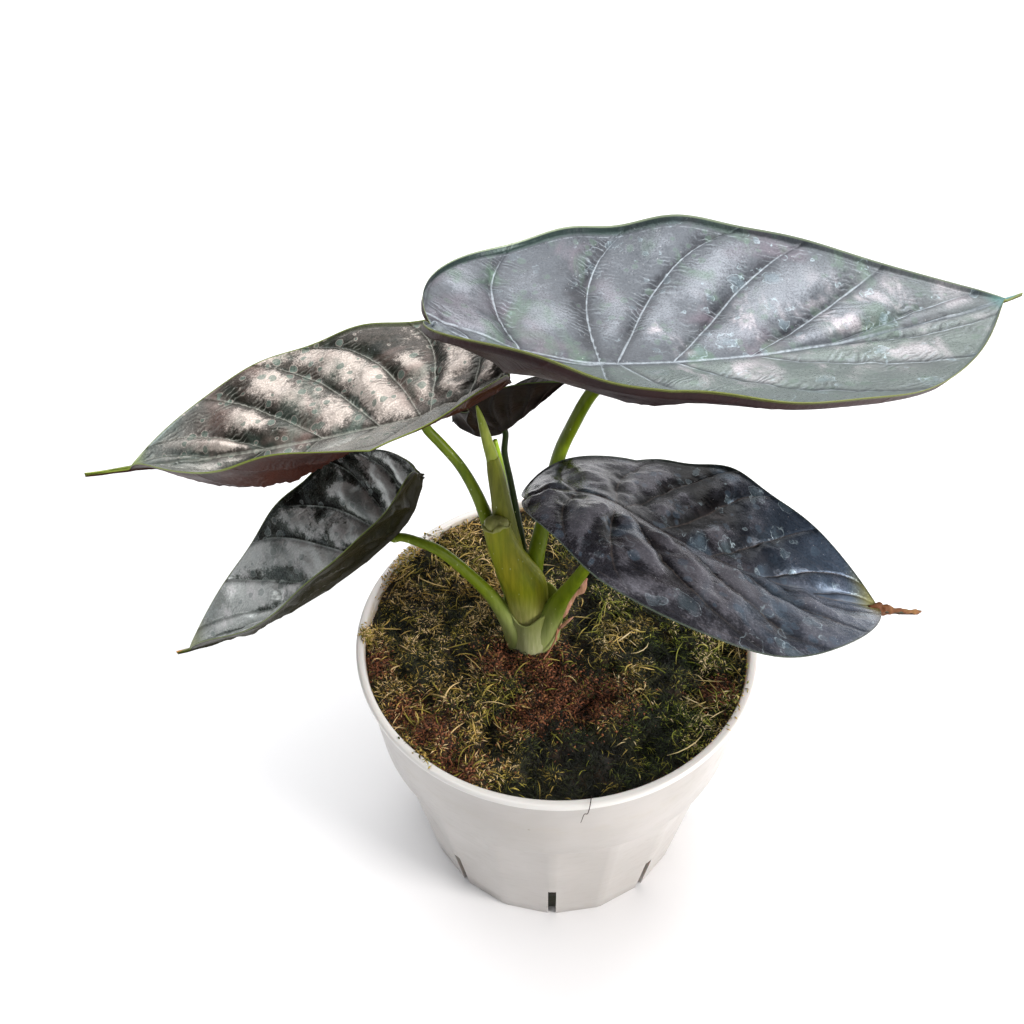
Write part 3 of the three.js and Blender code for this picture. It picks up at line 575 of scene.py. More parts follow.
    # Veins with a painted shadow along one side, midrib, margin with a band of painted shade, and tip.
    marked = (1 - gap.rise(0.08, 0.36)) * share.rise(0.97, 0.75) * 0.65
    # Painted shadow: a dark line along the tip side of each vein.
    vein_shadow = gap.rise(2.2, 0.4) * (1 - marked) * 0.5 * number.fraction().rise(0.9, 0.3)
    rib = 1 - abs(side).rise(0.25, 0.9)
    costa = (1 - abs(abs(side) + along * 0.13).rise(0.2, 0.7)) * along.rise(-1, -5)
    rim_vein = (1 - abs(share - 0.945).rise(0.0, 0.006)) * grain.rise(0.4, 0.6) * 0.35
    pale = marked.most(rib * 0.7).most(costa * 0.6).most(rim_vein)
    colour = made.mix(vein_shadow, colour, valley_shade)
    # Painted shade: a dark band inside the far margin, where it curls up.
    margin_band_shade = share.rise(0.945, 0.972) * (side * far).rise(-1, 4) * along.rise(leaf["front"] * 0.8, 0)
    colour = made.mix(margin_band_shade * patch.rise(0.3, 0.55, 0.35, 0.9), colour, band)
    colour = made.mix(pale * grain.rise(0.32, 0.6, 0.4, 1.0), colour, vein)
    colour = made.mix(along.rise(leaf["front"] - tip_length, leaf["front"] + 2.0), colour, tip)
    ended = along.rise(leaf["front"] + leaf["drip"] * 0.3, leaf["front"] + leaf["drip"] * 0.9)
    colour = made.mix(ended, colour, end)
    edged = share.rise(0.988, 0.996)
    edging = made.mix((side * far).rise(-1, 1), edge, far_edge or edge)
    colour = made.mix(edged * 0.9, colour, edging)
    # Underside.
    dull = made.mix(patch.rise(0.3, 0.7), under, under_rib)
    ribbed = (1 - gap.rise(0.2, 1.2)).most(1 - abs(side).rise(0.8, 2.4))
    dull = made.mix(ribbed * 0.6, dull, under_rib)
    web = made.cells(plane, 0.42, "DISTANCE_TO_EDGE")[0]
    dull = made.mix((1 - web.rise(0.0, 0.06)) * 0.35, dull, under_rib)
    dull = made.mix(share.rise(0.988, 0.997) * 0.7, dull, edge)
    colour = made.mix(below, colour, dull)
    # The fold at the midrib is duller toward the tip.
    fold = (1 - abs(side).rise(1.0, 3.5)) * along.rise(leaf["front"] * 0.4, leaf["front"] * 0.65)
    rough = roughness + (mottle - 0.5) * 0.24 + below * 0.2
    rough = rough - lifted.rise(low, high) * 0.05 + fold * 0.4
    shine = (1 - below) * metallic * (1 - edged) * (1 - fold * 0.7)
    bump = mottle * 0.15 + wrinkle * fade * 0.10 * crease + grain * 0.42
    bump = bump + gap.rise(0.0, 0.9) * 0.3 - pale * 0.1
    gloss = {"Coat Weight": (1 - below) * 0.1, "Coat Roughness": 0.22, "Specular IOR Level": 0.25}
    return made.surface(colour, rough, shine, bump, 0.0006, gloss)


def stem_finish(name, foot, green, deep, foot_z, green_z, roughness=0.36, streaks=1.0):
    """Smooth waxy stem: from its foot's colour at foot_z to green at green_z, deeper in soft
    patches, with lengthwise streaks and flecks."""
    made = Finish(name)
    where = made.place()
    height = where.parts()[2]
    streak = made.noise(where.scaled(1, 1, 0.05), 900.0, 3.0)[0]
    broad = made.noise(where.scaled(1, 1, 0.3), 120.0, 3.0)[0]
    greened = height.rise(foot_z * MM, green_z * MM)
    colour = made.mix(greened, foot, green)
    colour = made.mix(broad.rise(0.42, 0.7) * (greened * 0.45 + 0.3), colour, deep)
    streaked = made.mix(streak.rise(0.3, 0.7), (0.55, 0.62, 0.4, 1), WHITE)
    colour = made.tinted(colour, 0.45 * streaks, streaked)
    fleck = made.cells(where.scaled(1, 1, 0.5), 700.0)
    flecked = fleck[0].rise(0.2, 0.1) * fleck[1].parts()[0].above(0.8) * 0.35
    colour = made.mix(flecked, colour, "d7e0a8")
    bump = streak * 0.5 + broad * 0.3
    constants = {
        "Subsurface Weight": 0.12, "Subsurface Radius": (0.004, 0.006, 0.002),
        "Coat Weight": 0.02, "Coat Roughness": 0.25, "Specular IOR Level": 0.16,
    }
    return made.surface(colour, roughness + (broad - 0.5) * 0.15, 0.0, bump, 0.0002 * streaks, constants)


def pot_finish():
    """White moulded plastic: faint flow marks, scuffs and specks, a lighter top of the lip that is a
    painted highlight, stained inside it."""
    made = Finish("white moulded plastic")
    where = made.place()
    x, y, z = where.parts()
    haze = made.noise(where, 22.0, 3.0)[0]
    scuff = made.noise(where.scaled(1, 1, 3), 160.0, 4.0, 0.65)[0]
    colour = made.mix(haze.rise(0.35, 0.65), "bab3ae", "aea7a1")
    # Painted highlight: the top of the lip is lighter.
    colour = made.mix(z.rise(0.1105, 0.1122), colour, "dcd8d4")
    radius = (x * x + y * y) ** 0.5
    inner = (1 - (radius - 0.0715).rise(0.0, 0.0008)) * z.rise(0.09, 0.108)
    stain = inner * made.noise(where, 140.0, 4.0, 0.7)[0].rise(0.42, 0.62)
    colour = made.mix(stain * 0.75, colour, "a58f4a")
    speck = made.cells(where, 130.0)
    dirt = speck[0].rise(0.07, 0.035) * speck[1].parts()[0].above(0.9)
    colour = made.mix(dirt * 0.7, colour, "8a7a66")
    rough = 0.30 + scuff.rise(0.45, 0.75) * 0.14 + stain * 0.3
    constants = {"Coat Weight": 0.2, "Coat Roughness": 0.15, "Subsurface Weight": 0.05}
    return made.surface(colour, rough, 0.0, scuff * 0.35 + haze, 0.00012, constants)


def earth_finish():
    """Damp peat: near-black crumb with brown and rust grains, and green films between."""
    made = Finish("damp peat")
    where = made.place()
    clump = made.noise(where, 90.0, 5.0, 0.65)[0]
    crumb = made.noise(where, 420.0, 4.0, 0.7)[0]
    rust = made.field("rust", number=True)
    colour = made.mix(clump.rise(0.38, 0.66), "15120c", "3a2a1b")
    colour = made.mix(crumb.rise(0.55, 0.75) * 0.6, colour, "5b432b")
    colour = made.mix(rust * crumb.rise(0.3, 0.6) * 0.9, colour, "6b4026")
    green = made.noise(where, 60.0, 3.0)[0].rise(0.45, 0.6) * (1 - rust)
    colour = made.mix(green * 0.7, colour, "232c12")
    return made.surface(colour, crumb.rise(0.2, 0.8, 0.75, 1.0), 0.0, crumb + clump * 2, 0.0012)


def growth_finish():
    """Moss, straw and crumb: from near black through olive to straw by tone, which on the moss carries
    painted shade in the soil's hollows, warmer at the left and greener at the right, rust brown where
    it is peat, and darker toward the root of each leaflet and thread as painted shade."""
    made = Finish("moss and peat crumb")
    tone, reach, rust = made.field("thread").parts()
    colour = made.mix(tone.rise(0.0, 0.3), "0b0e06", "3c4116")
    colour = made.mix(tone.rise(0.25, 0.55), colour, "938339")
    colour = made.mix(tone.rise(0.52, 0.78), colour, "cfb469")
    colour = made.mix(tone.rise(0.8, 1.0), colour, "ecd9ac")
    where = made.place()
    to_right = where.parts()[0].rise(-0.035, 0.03)
    green = made.noise(where, 65.0, 3.0)[0].rise(0.40, 0.56)
    green = green * tone.rise(1.0, 0.6) * (to_right * 0.45 + 0.55)
    colour = made.tinted(colour, 0.8 - to_right * 0.6, (1.0, 0.84, 0.66, 1))
    colour = made.tinted(colour, green * 0.9, (0.55, 0.95, 0.32, 1))
    brown = made.mix(tone.rise(0.0, 0.8), "24120a", "9c5e3c")
    colour = made.mix(rust.rise(0.25, 0.6), colour, brown)
    # Painted shade: each leaflet and thread darkens toward its root.
    root_shade = made.mix(reach.rise(0.0, 0.6), (0.4, 0.4, 0.4, 1), WHITE)
    colour = made.tinted(colour, 1.0, root_shade)
    return made.surface(colour, 0.75, 0.0)


# What each blade's finish is given: colours as six digits, shares, and measures in millimetres.
# The valley colours are painted shade, the crest colours painted sheen and the gleam colours painted
# highlights.
LEAF_LOOKS = {
    "upper_right": dict(
        far=1, valley_shade="33363d", middle="5e636a", crest="8a8f97", low=-0.5, high=0.6,
        sheen_skew=0.35, patches=0.8, raggedness=0.6, tones=((-1, -0.1), (-2, -0.2)),
        tint="7a6f7a", cool="64806c", near_sheen_colour="808b87", gleam=0.75, gleam_colour="ddd4da",
        wash="8d9595", wash_from=0.5, wash_share=0.6, vein="b4bec6", crease=1.0,
        band="2f403c", edge="77803a", far_edge="a9b898", tip="6fa3a0", end="8a9d42",
        under="1c0709", under_rib="2c0f0e", spots=0.3, rings=0.75, metallic=0.4, roughness=0.33),
    "upper_left": dict(
        far=-1, valley_shade="1e2016", middle="4e4842", crest="d2c5bb", low=-0.3, high=0.55,
        sheen_skew=0.5, patches=1.3, tones=((0, 0.25), (1, -0.05), (2, -0.3), (3, 0.05), (-1, -0.1)),
        tint="8c746c", cool="66766c", near_sheen_colour="a3a39d", gleam=0.25, gleam_colour="efe2d8",
        wash="94a19d", wash_from=0.66, wash_share=0.7, vein="a5a59b", crease=1.3,
        band="2a3013", edge="7f9030", tip="8f9f4a", end="a3b44a",
        under="230b06", under_rib="3a180b", spots=0.9, rings=0.1, metallic=0.45, roughness=0.30),
    "lower_left": dict(
        far=-1, valley_shade="0e120b", middle="4a504a", crest="f6faf8",
        sheen_skew=0.8, patches=2.4, tones=((1, 0.25), (2, 0.45), (3, 0.4), (0, -0.1)),
        tint="5c5f57", cool="8b9694", near_sheen_colour="b4b9b4", gleam=1.0, gleam_colour="ffffff",
        gleam_size=0.15, wash="aab1ad", wash_from=0.4, wash_share=0.35, vein="8a948c", crease=0.6,
        band="1c2114", edge="6c7a38", tip="9a9c74", end="d89a4c", tip_length=9,
        under="17180a", under_rib="262310", spots=0.6, rings=0.25, metallic=0.4, roughness=0.28),
    "lower_right": dict(
        far=1, valley_shade="121214", middle="2f2f35", crest="6c6b73", low=-0.6, high=0.4,
        sheen_skew=0.3, patches=2.0, far_half_shade=-0.6,
        tint="3e3536", cool="5c6f80", gleam=0.35, gleam_colour="9a9aa6", gleam_size=0.11,
        wash="5c6e85", wash_from=0.3, wash_share=0.65, vein="59504b", crease=0.5,
        band="1e2420", edge="4a5648", tip="8a8440", end="6f5238", tip_length=12,
        under="2a1b16", under_rib="3f2b20", spots=0.4, rings=0.6, metallic=0.4, roughness=0.30),
    "back": dict(
        far=1, valley_shade="1c130b", middle="33241a", crest="57473a", tint="3e2a1e", cool="4c463a",
        wash="3a2a1a", wash_from=0.6, wash_share=0.3, vein="5f5838", edge="56701f",
        tip="4f5f26", end="4f5f26", under="2c180c", under_rib="140b06",
        metallic=0.3, roughness=0.36),
}


# Leaves

INNER_LOBE_END, WIDEST_AT, DRIP_START = 0.12, 0.42, 0.86


def margin(leaf, u):
    """Flat margin of one half by station u: a quarter turn round the inner lobe, another to
    the widest line, then a long shoulder that narrows by a power law into the drip tip."""
    front, drip, back, lobe, widest = (leaf[k] for k in ("front", "drip", "back", "lobe", "widest"))
    turn = (1 - np.clip(u / INNER_LOBE_END, 0, 1)) * np.pi / 2
    lobe_along = -back + (back - leaf["notch"]) * (1 - np.cos(turn))
    lobe_across = lobe * (1 - np.sin(turn))
    turn = (1 - np.clip((u - INNER_LOBE_END) / (WIDEST_AT - INNER_LOBE_END), 0, 1)) * np.pi / 2
    side_along = widest - (widest + back) * np.sin(turn)
    side_across = lobe + (leaf["half_width"] - lobe) * np.maximum(np.cos(turn), 0) ** 0.9
    share = np.clip((u - WIDEST_AT) / (1 - WIDEST_AT), 0, 1)
    swept = widest + (front - widest) * np.sin(np.clip(share / DRIP_START, 0, 1) * np.pi / 2) ** 0.9
    nose_along = np.where(share < DRIP_START, swept, front + drip * (share - DRIP_START) / (1 - DRIP_START))
    forward = np.clip((nose_along - widest) / (front - widest), 0, 1)
    nose_across = leaf["half_width"] * (1 - forward ** leaf["fullness"]) ** leaf["shoulder"]
    tail = leaf["drip_width"] * np.clip((front + drip - nose_along) / (drip + 0.25 * front), 0, 1)
    nose_across = np.where(u >= 1, 0, np.maximum(nose_across, tail))
    along = np.where(u < INNER_LOBE_END, lobe_along, np.where(u < WIDEST_AT, side_along, nose_along))
    across = np.where(u < INNER_LOBE_END, lobe_across, np.where(u < WIDEST_AT, side_across, nose_across))
    return along, across


def veins(leaf, along, share):
    """Number of a side vein, whole on each and rising evenly to the next, and three
    quarters of the millimetres along between the two round a point, which is about their
    distance square across. A vein's place is its start, plus its lean
    times the share of the way to the margin, plus its sweep times that share's fourth power."""
    lines = []
    for i, (start, lean, sweep) in enumerate(VEINS):
        unit_length = leaf["back"] if i < FIRST_VEIN else leaf["front"]
        lines.append(unit_length * (start + lean * share + sweep * share ** 4))
    number = np.full(np.broadcast(along, share).shape, -float(FIRST_VEIN))
    spacing = np.full(number.shape, 14.0)
    for before, after in zip(lines, lines[1:]):
        number += np.clip((along - before) / (after - before), 0, 1)
        spacing = np.where((along >= before) & (along < after), after - before, spacing)
    return number, spacing * 0.75


def relief(leaf, along, across, share, seed):
    """Quilting over the smooth blade: a rounded crest between each two veins, broken into
    pillows, with small puckers as deep as the blade's crumple, a groove on the midrib and
    one into each lobe."""
    number, _ = veins(leaf, along, share)
    wide = np.abs(across)
    crest = np.abs(np.sin(np.pi * number)) ** 0.75 - 0.45
    strip = np.floor(number) + 7 * (across > 0)
    beat = np.sin(wide / (0.15 * leaf["half_width"]) + 2.3 * strip + 1.5 * cloud(along, across, 16, seed))
    pillows = 0.22 * beat * np.sin(np.pi * number) ** 2
    pucker = 0.20 * cloud(along, across, 6.5, seed + 1) + 0.10 * cloud(along, across, 3.1, seed + 2)
    pucker = pucker * leaf.get("crumple", 1)
    spread = np.minimum(np.hypot(along, across) / (0.3 * leaf["half_width"]), 1) ** 2
    to_tip = np.clip((leaf["front"] - along) / (0.35 * leaf["front"]), 0, 1)
    calm = (1 - share ** 4) * np.minimum(share * 4, 1) * spread * to_tip
    lobes = np.exp(-((wide + 0.13 * along) / 1.3) ** 2) * ease(-along, 3, 9) * (1 - share ** 6)
    midrib = 0.16 * np.exp(-(across / 1.1) ** 2) * to_tip
    return (crest + pillows + pucker) * calm - midrib - 0.3 * lobes


def blade_frame(leaf):
    """Forward along the midrib, left across it and up out of the upper face."""
    heading, pitch, roll = np.radians([leaf["heading"], leaf["pitch"], leaf["roll"]])
    forward = np.array([np.cos(pitch) * np.cos(heading), np.cos(pitch) * np.sin(heading), np.sin(pitch)])
    level = np.array([-np.sin(heading), np.cos(heading), 0])
    left = level * np.cos(roll) + np.cross(forward, level) * np.sin(roll)
    return forward, left, np.cross(forward, left)


def blade_points(leaf, along, across, side):
    """Flat points carried on to the blade: the midrib is an arc in height and heading, each
    half leaves it at its fold, which opens toward the tip and curls toward the margin, and
    the margin waves in two wavelengths. A half with a sag hangs into a gutter between
    midrib and margin, deepest at one place along it."""
    ahead, behind = leaf["bend"] / leaf["front"], leaf["rise"] / leaf["back"]
    slope = np.radians(-along * np.where(along > 0, ahead, behind))
    turn = np.radians(leaf["sweep"] * along / leaf["front"])
    twist = np.radians(leaf["twist"] * along / leaf["front"])
    flat = np.zeros_like(slope)
    middle = along[..., None] * np.stack(
        [np.cos(slope / 2) * np.cos(turn / 2), np.cos(slope / 2) * np.sin(turn / 2), np.sin(slope / 2)], -1)
    tangent = np.stack([np.cos(slope) * np.cos(turn), np.cos(slope) * np.sin(turn), np.sin(slope)], -1)
    level = np.stack([-np.sin(turn), np.cos(turn), flat], -1)
    normal = np.cross(tangent, level)
    cosine, sine = np.cos(twist)[..., None], np.sin(twist)[..., None]
    sideways, upward = level * cosine + normal * sine, normal * cosine - level * sine

    def of(key, index=None):
        """A setting, or one entry of it, from the half that each point lies on."""
        pair = [leaf[h][key] if index is None else leaf[h][key][index] for h in ("left", "right")]
        return np.where(side > 0, pair[0], pair[1])

    out = across * of("width") / leaf["half_width"]
    curl = of("curl") + np.where(along < 0, of("curl_back") * along / leaf["back"], 0)
    lift = np.radians(of("fold") + of("open") * along / leaf["front"] + curl * out / 2)
    phase = 2 * np.pi * along / leaf["ruffle_length"]
    wave = (of("ruffle", 0) * np.cos(phase) + of("ruffle", 1) * np.sin(phase)
            + of("ruffle", 2) * np.cos(2 * phase) + of("ruffle", 3) * np.sin(2 * phase))
    reach = across * of("width")
    local = (middle + sideways * (side * reach * np.cos(lift))[..., None]
             + upward * (reach * np.sin(lift) + wave * out ** 2)[..., None])
    for sign, half in ((1, "left"), (-1, "right")):
        if "sag" in leaf[half]:
            deep, where, length = leaf[half]["sag"]
            gutter = deep * 4 * out * (1 - out) * np.exp(-((along / leaf["front"] - where) / length) ** 2)
            local[..., 2] -= np.where(side == sign, gutter, 0)
    return np.array(leaf["at"]) + local @ np.stack(blade_frame(leaf))


def blade(name, seed):
    """Thin closed blade, 0.64 mm thick: the same grid above and below, closer at midrib and
    margin, thinner at the margin, which rolls up a little, and thicker at the tip, with the
    relief on both and ribs raised below."""
    leaf = BLADES[name]
    rows, columns = leaf["grid"]
    u = np.linspace(0, 1, rows + 1)[:, None]
    side = np.linspace(-1, 1, 2 * columns + 1)[None, :]
    share = (np.abs(side) - 0.07 * np.sin(2 * np.pi * np.abs(side))) * np.ones_like(u)
    edge_along, edge_across = margin(leaf, u)
    start = -leaf["notch"] + (leaf["front"] + leaf["drip"] + leaf["notch"]) * u ** 1.6
    along = start + (edge_along - start) * share
    across = edge_across * share
    sign = np.where(side >= 0, 1, -1) * np.ones_like(u)
    middle = blade_points(leaf, along, across, sign)
    normal = unit(np.cross(np.gradient(middle, axis=0), np.gradient(middle, axis=1)))
    normal[0], normal[-1] = normal[1, columns], normal[-2, columns]
    height = relief(leaf, along, sign * across, share, seed)
    number, spacing = veins(leaf, along, share)
    gap = np.abs(number - np.round(number)) * spacing
    to_tip = np.clip((leaf["front"] + leaf["drip"] - along) / leaf["front"], 0, 1)
    ribs = 1.3 * to_tip * np.exp(-(across / 1.5) ** 2) + 0.22 * np.exp(-(gap / 1.3) ** 2) * (1 - share ** 2)
    half = 0.32 - 0.17 * ease(share, 0.93, 1) + 0.35 * ease(along, leaf["front"] - 4, leaf["front"] + 1)
    rolled = leaf["roll_up"] * ease(share, 0.965, 1) * ease(u, 0, 0.1) * ease(-u, -0.93, -0.8)
    lifted = height * leaf["relief"] + rolled
    top = middle + normal * (lifted + half)[..., None]
    bottom = middle + normal * (lifted - half - ribs * ease(1 - share, 0, 0.22))[..., None]
    wide = 2 * columns + 1
    index = np.arange((rows + 1) * wide).reshape(rows + 1, wide)
    index[0], index[-1] = index[0, columns], index[-1, columns]
    quads = np.stack([index[:-1, :-1], index[:-1, 1:], index[1:, 1:], index[1:, :-1]], -1).reshape(-1, 4)
    shift = (rows + 1) * wide
    rim = np.concatenate([index[:-1, 0], index[:0:-1, -1]])
    after = np.roll(rim, -1)
    band = np.stack([rim, after, after + shift, rim + shift], -1)
    points = np.vstack([top.reshape(-1, 3), bottom.reshape(-1, 3)])
    faces = facing_out(points, np.vstack([quads, (quads + shift)[:, ::-1], band[:, ::-1]]))
    used, faces = np.unique(faces, return_inverse=True)
    faces = faces.reshape(-1, 4)
    rib = np.stack([number, across, share], -1).reshape(-1, 3)
    lie = np.stack([along, sign * across, height], -1).reshape(-1, 3)
    under = np.repeat([0.0, 1.0], shift)
    fields = {"rib": np.vstack([rib, rib])[used], "lie": np.vstack([lie, lie])[used], "under": under[used],
              "spacing": np.tile(spacing.ravel(), 2)[used]}
    finish = leaf_finish("leaf " + name.replace("_", " "), leaf, **LEAF_LOOKS[name])
    piece("leaf_" + name, points[used], faces, finish, "blade_" + name, fields)


# Stalks, crown and shoots

# Where two stalks broaden into sheaths that clasp the crown: the stations that follow those
# of the path that lie clear above them.
CLASPS = {
    "lower_left": [[-25.4, -2.9, 139.6, 2.3], [-20.2, -2.4, 129.4, 3.0], [-15.8, -1.4, 119, 4.6],
                   [-12.4, 0.2, 110.5, 7.2], [-10.4, 1.2, 104, 8.8]],
    "lower_right": [[5.4, -11.4, 151.4, 2.5], [1.9, -7, 139.6, 3.1], [-0.9, -3.6, 129, 4.4],
                    [-3.9, -1.0, 119, 6.4], [-6.6, 0.8, 110.5, 8.7], [-8, 1.4, 104, 9.3]],
}


def stalk(name, finish):
    """Stalk from its blade down to the crown: a rod a quarter thicker where it meets the
    blade, with a sheath at its foot if it has one."""
    leaf, made = BLADES[name], STALKS[name]
    _, _, up = blade_frame(leaf)
    at = np.array(leaf["at"])
    line = [list(at - up * 0.5), list(at - up * 2.2)] + made["path"]
    stations = []
    for i, point in enumerate(line):
        share = i / (len(line) - 1)
        radius = np.interp(share, [0, 0.55, 1], made["radius"])
        stations.append(list(point) + [radius * (1.25 if i == 0 else 1)])
    if name in CLASPS:
        clear_of = CLASPS[name][0][2] + 4
        stations = [station for station in stations if station[2] > clear_of] + CLASPS[name]

    def swell(share, angle):
        """Faintly three-sided, winding slowly, and a little off centre toward the blade."""
        return 1 + 0.02 * np.cos(3 * angle + 4 * share) - 0.03 * ease(share, 0.5, 1) * np.cos(angle + 2)

    points, faces, _, _ = rod(stations[::-1], 90, 28, swell=swell)
    closed_piece("stem_" + name, points, faces, finish, "stalk_" + name)


def pot_ring(z, radius, faceted, count):
    """A level ring of the pot; a faceted one follows eighteen flat sides with their corners
    softened by a blend toward the circle."""
    angle = np.arange(count) / count * 2 * np.pi - np.pi / 2
    if faceted:
        step = 2 * np.pi / POT["facets"]
        turned = (angle + np.pi / 2) % step - step / 2
        flat = radius * np.cos(step / 2) / np.cos(turned)
        radius = flat - 0.25 * ease(np.abs(turned), 0.9 * step / 2, step / 2)
    return np.stack([radius * np.cos(angle), radius * np.sin(angle), np.full(count, float(z))], -1)


def pot_profile():
    """Height, radius and whether it is faceted, for each ring from the foot up the outside,
    over the rolled lip and down the inside."""
    height, wall, rim = POT["height"], POT["wall"], POT["rim_radius"]
    shoulder, bottom, lip = POT["shoulder"], POT["band_bottom"], height - POT["lip_height"]

    def wall_at(z):
        """Radius of the tapering wall at a height."""
        return POT["base_radius"] + (POT["shoulder_radius"] - POT["base_radius"]) * z / shoulder

    def band_at(z):
        """Radius of the round band at a height."""
        share = (z - bottom) / (height - bottom)
        return POT["band_bottom_radius"] + (POT["band_top_radius"] - POT["band_bottom_radius"]) * share

    foot = [(0, wall_at(0) - 0.7), (0.25, wall_at(0) - 0.2), (0.8, wall_at(0.8))]
    foot += [(z, wall_at(z)) for z in (10, 27, 50, 72)]
    foot += [(shoulder - 0.2, wall_at(shoulder - 0.2) + 0.05)]
    band = [(bottom - 1, band_at(bottom) - 1.1), (bottom - 0.3, band_at(bottom) - 0.3)]
    band += [(z, band_at(z)) for z in (bottom + 0.6, 90, 104, lip - 0.5)]
    band += [(lip, band_at(lip) + 0.15), (lip + 0.5, rim - 0.5), (lip + 1.0, rim - 0.1)]
    band += [(lip + 1.6, rim), (lip + 2.4, rim), (lip + 2.85, rim - 0.2)]
    band += [(height - 0.06, rim - 0.6), (height, rim - 1.0)]
    inside = band_at(height) - wall
    band += [(height - 0.04, inside + 0.6), (height - 0.4, inside + 0.15), (height - 1.0, inside)]
    band += [(bottom, band_at(bottom) - wall)]
    hollow = [(shoulder, wall_at(shoulder) - wall), (POT["floor"], wall_at(POT["floor"]) - wall)]
    return [(z, radius, rows is not band) for rows in (foot, band, hollow) for z, radius in rows]


def slot_cutter():
    """A box across the wall's foot in the middle of every other flat side."""
    boxes, box_faces = [], []
    for k in range(0, POT["facets"], 2):
        angle = k / POT["facets"] * 2 * np.pi - np.pi / 2
        out = np.array([np.cos(angle), np.sin(angle), 0])
        side = np.array([-np.sin(angle), np.cos(angle), 0])
        for z in (-5, POT["slot_height"]):
            for a, b in ((-1, -1), (1, -1), (1, 1), (-1, 1)):
                depth, width = POT["base_radius"] + a * POT["slot_depth"], b * POT["slot_width"] / 2
                boxes.append(out * depth + side * width + [0, 0, z])
        first = len(boxes) - 8
        for face in ((3, 2, 1, 0), (4, 5, 6, 7), (0, 1, 5, 4), (1, 2, 6, 5), (2, 3, 7, 6), (3, 0, 4, 7)):
            box_faces.append([first + corner for corner in face])
    return placed("slots", boxes, box_faces)


def pot():
    """The pot's profile carried round and closed over its floor, with the slots cut out and
    edges sharp where faces meet at more than 38 degrees."""
    count = 360
    profile = pot_profile()
    grid = np.stack([pot_ring(z, radius, faceted, count) for z, radius, faceted in profile])
    points = np.vstack([grid.reshape(-1, 3), [[0, 0, 0], [0, 0, POT["floor"]]]])
    faces = facing_out(points, tube(len(profile), count))
    made = piece("nursery_pot", points, faces, pot_finish(), "pot")
    cutter = slot_cutter()
    cut = made.modifiers.new("slots", "BOOLEAN")
    cut.object, cut.operation, cut.solver = cutter, "DIFFERENCE", "EXACT"
    bpy.context.view_layer.update()
    settled = bpy.data.meshes.new_from_object(made.evaluated_get(bpy.context.evaluated_depsgraph_get()))
    made.modifiers.clear()
    made.data = settled
    bpy.data.objects.remove(cutter)
    settled.set_sharp_from_angle(angle=np.radians(38))


def crown(finish):
    """The crown and the collar of sheaths round the old stem: a profile carried round, whose
    upper edge is high at the right, dips at the front left and rises again at the left, then
    turns over and runs down inside."""
    sides, rows = 120, 56
    turns = np.arange(sides) / sides * 2 * np.pi
    share, angle = np.meshgrid(np.linspace(0, 1, rows), turns, indexing="ij")
    knots = np.array(CROWN_PROFILE)
    edge = COLLAR_LEVEL - 6.6 * bell(angle, np.radians(-112), 0.62)
    edge = edge + 4.6 * bell(angle, np.radians(-22), 0.4)
    edge = edge + 2.2 * bell(angle, np.radians(-162), 0.25) + 0.25 * np.sin(9 * angle)
    outer = share < 0.8
    rising = CROWN_FOOT + (edge - CROWN_FOOT) * share / 0.8
    z = np.where(outer, rising, edge - 7 * np.maximum(share - 0.86, 0) / 0.14)
    turned_in = np.interp(edge, knots[:, 0], knots[:, 1]) - 0.8 * ease(share, 0.79, 0.9)
    radius = np.where(outer, np.interp(z, knots[:, 0], knots[:, 1]), turned_in)
    z = z + np.where((share > 0.8) & (share < 0.88), 0.2, 0)
    radius = radius * (1 + 0.012 * np.sin(7 * angle + z * 0.12) + 0.004 * np.sin(43 * angle))
    stretch = 1 + 0.10 * np.cos(angle) ** 2 * ease(z, 116, 128)
    x = CROWN_X + radius * stretch * np.cos(angle)
    y = CROWN_Y + radius * np.sin(angle)
    hubs = [[CROWN_X, CROWN_Y, CROWN_FOOT], [CROWN_X, CROWN_Y, CROWN_HOLLOW]]
    points = np.vstack([np.stack([x, y, z], -1).reshape(-1, 3), hubs])
    closed_piece("crown_collar", points, tube(rows, sides), finish, "crown")


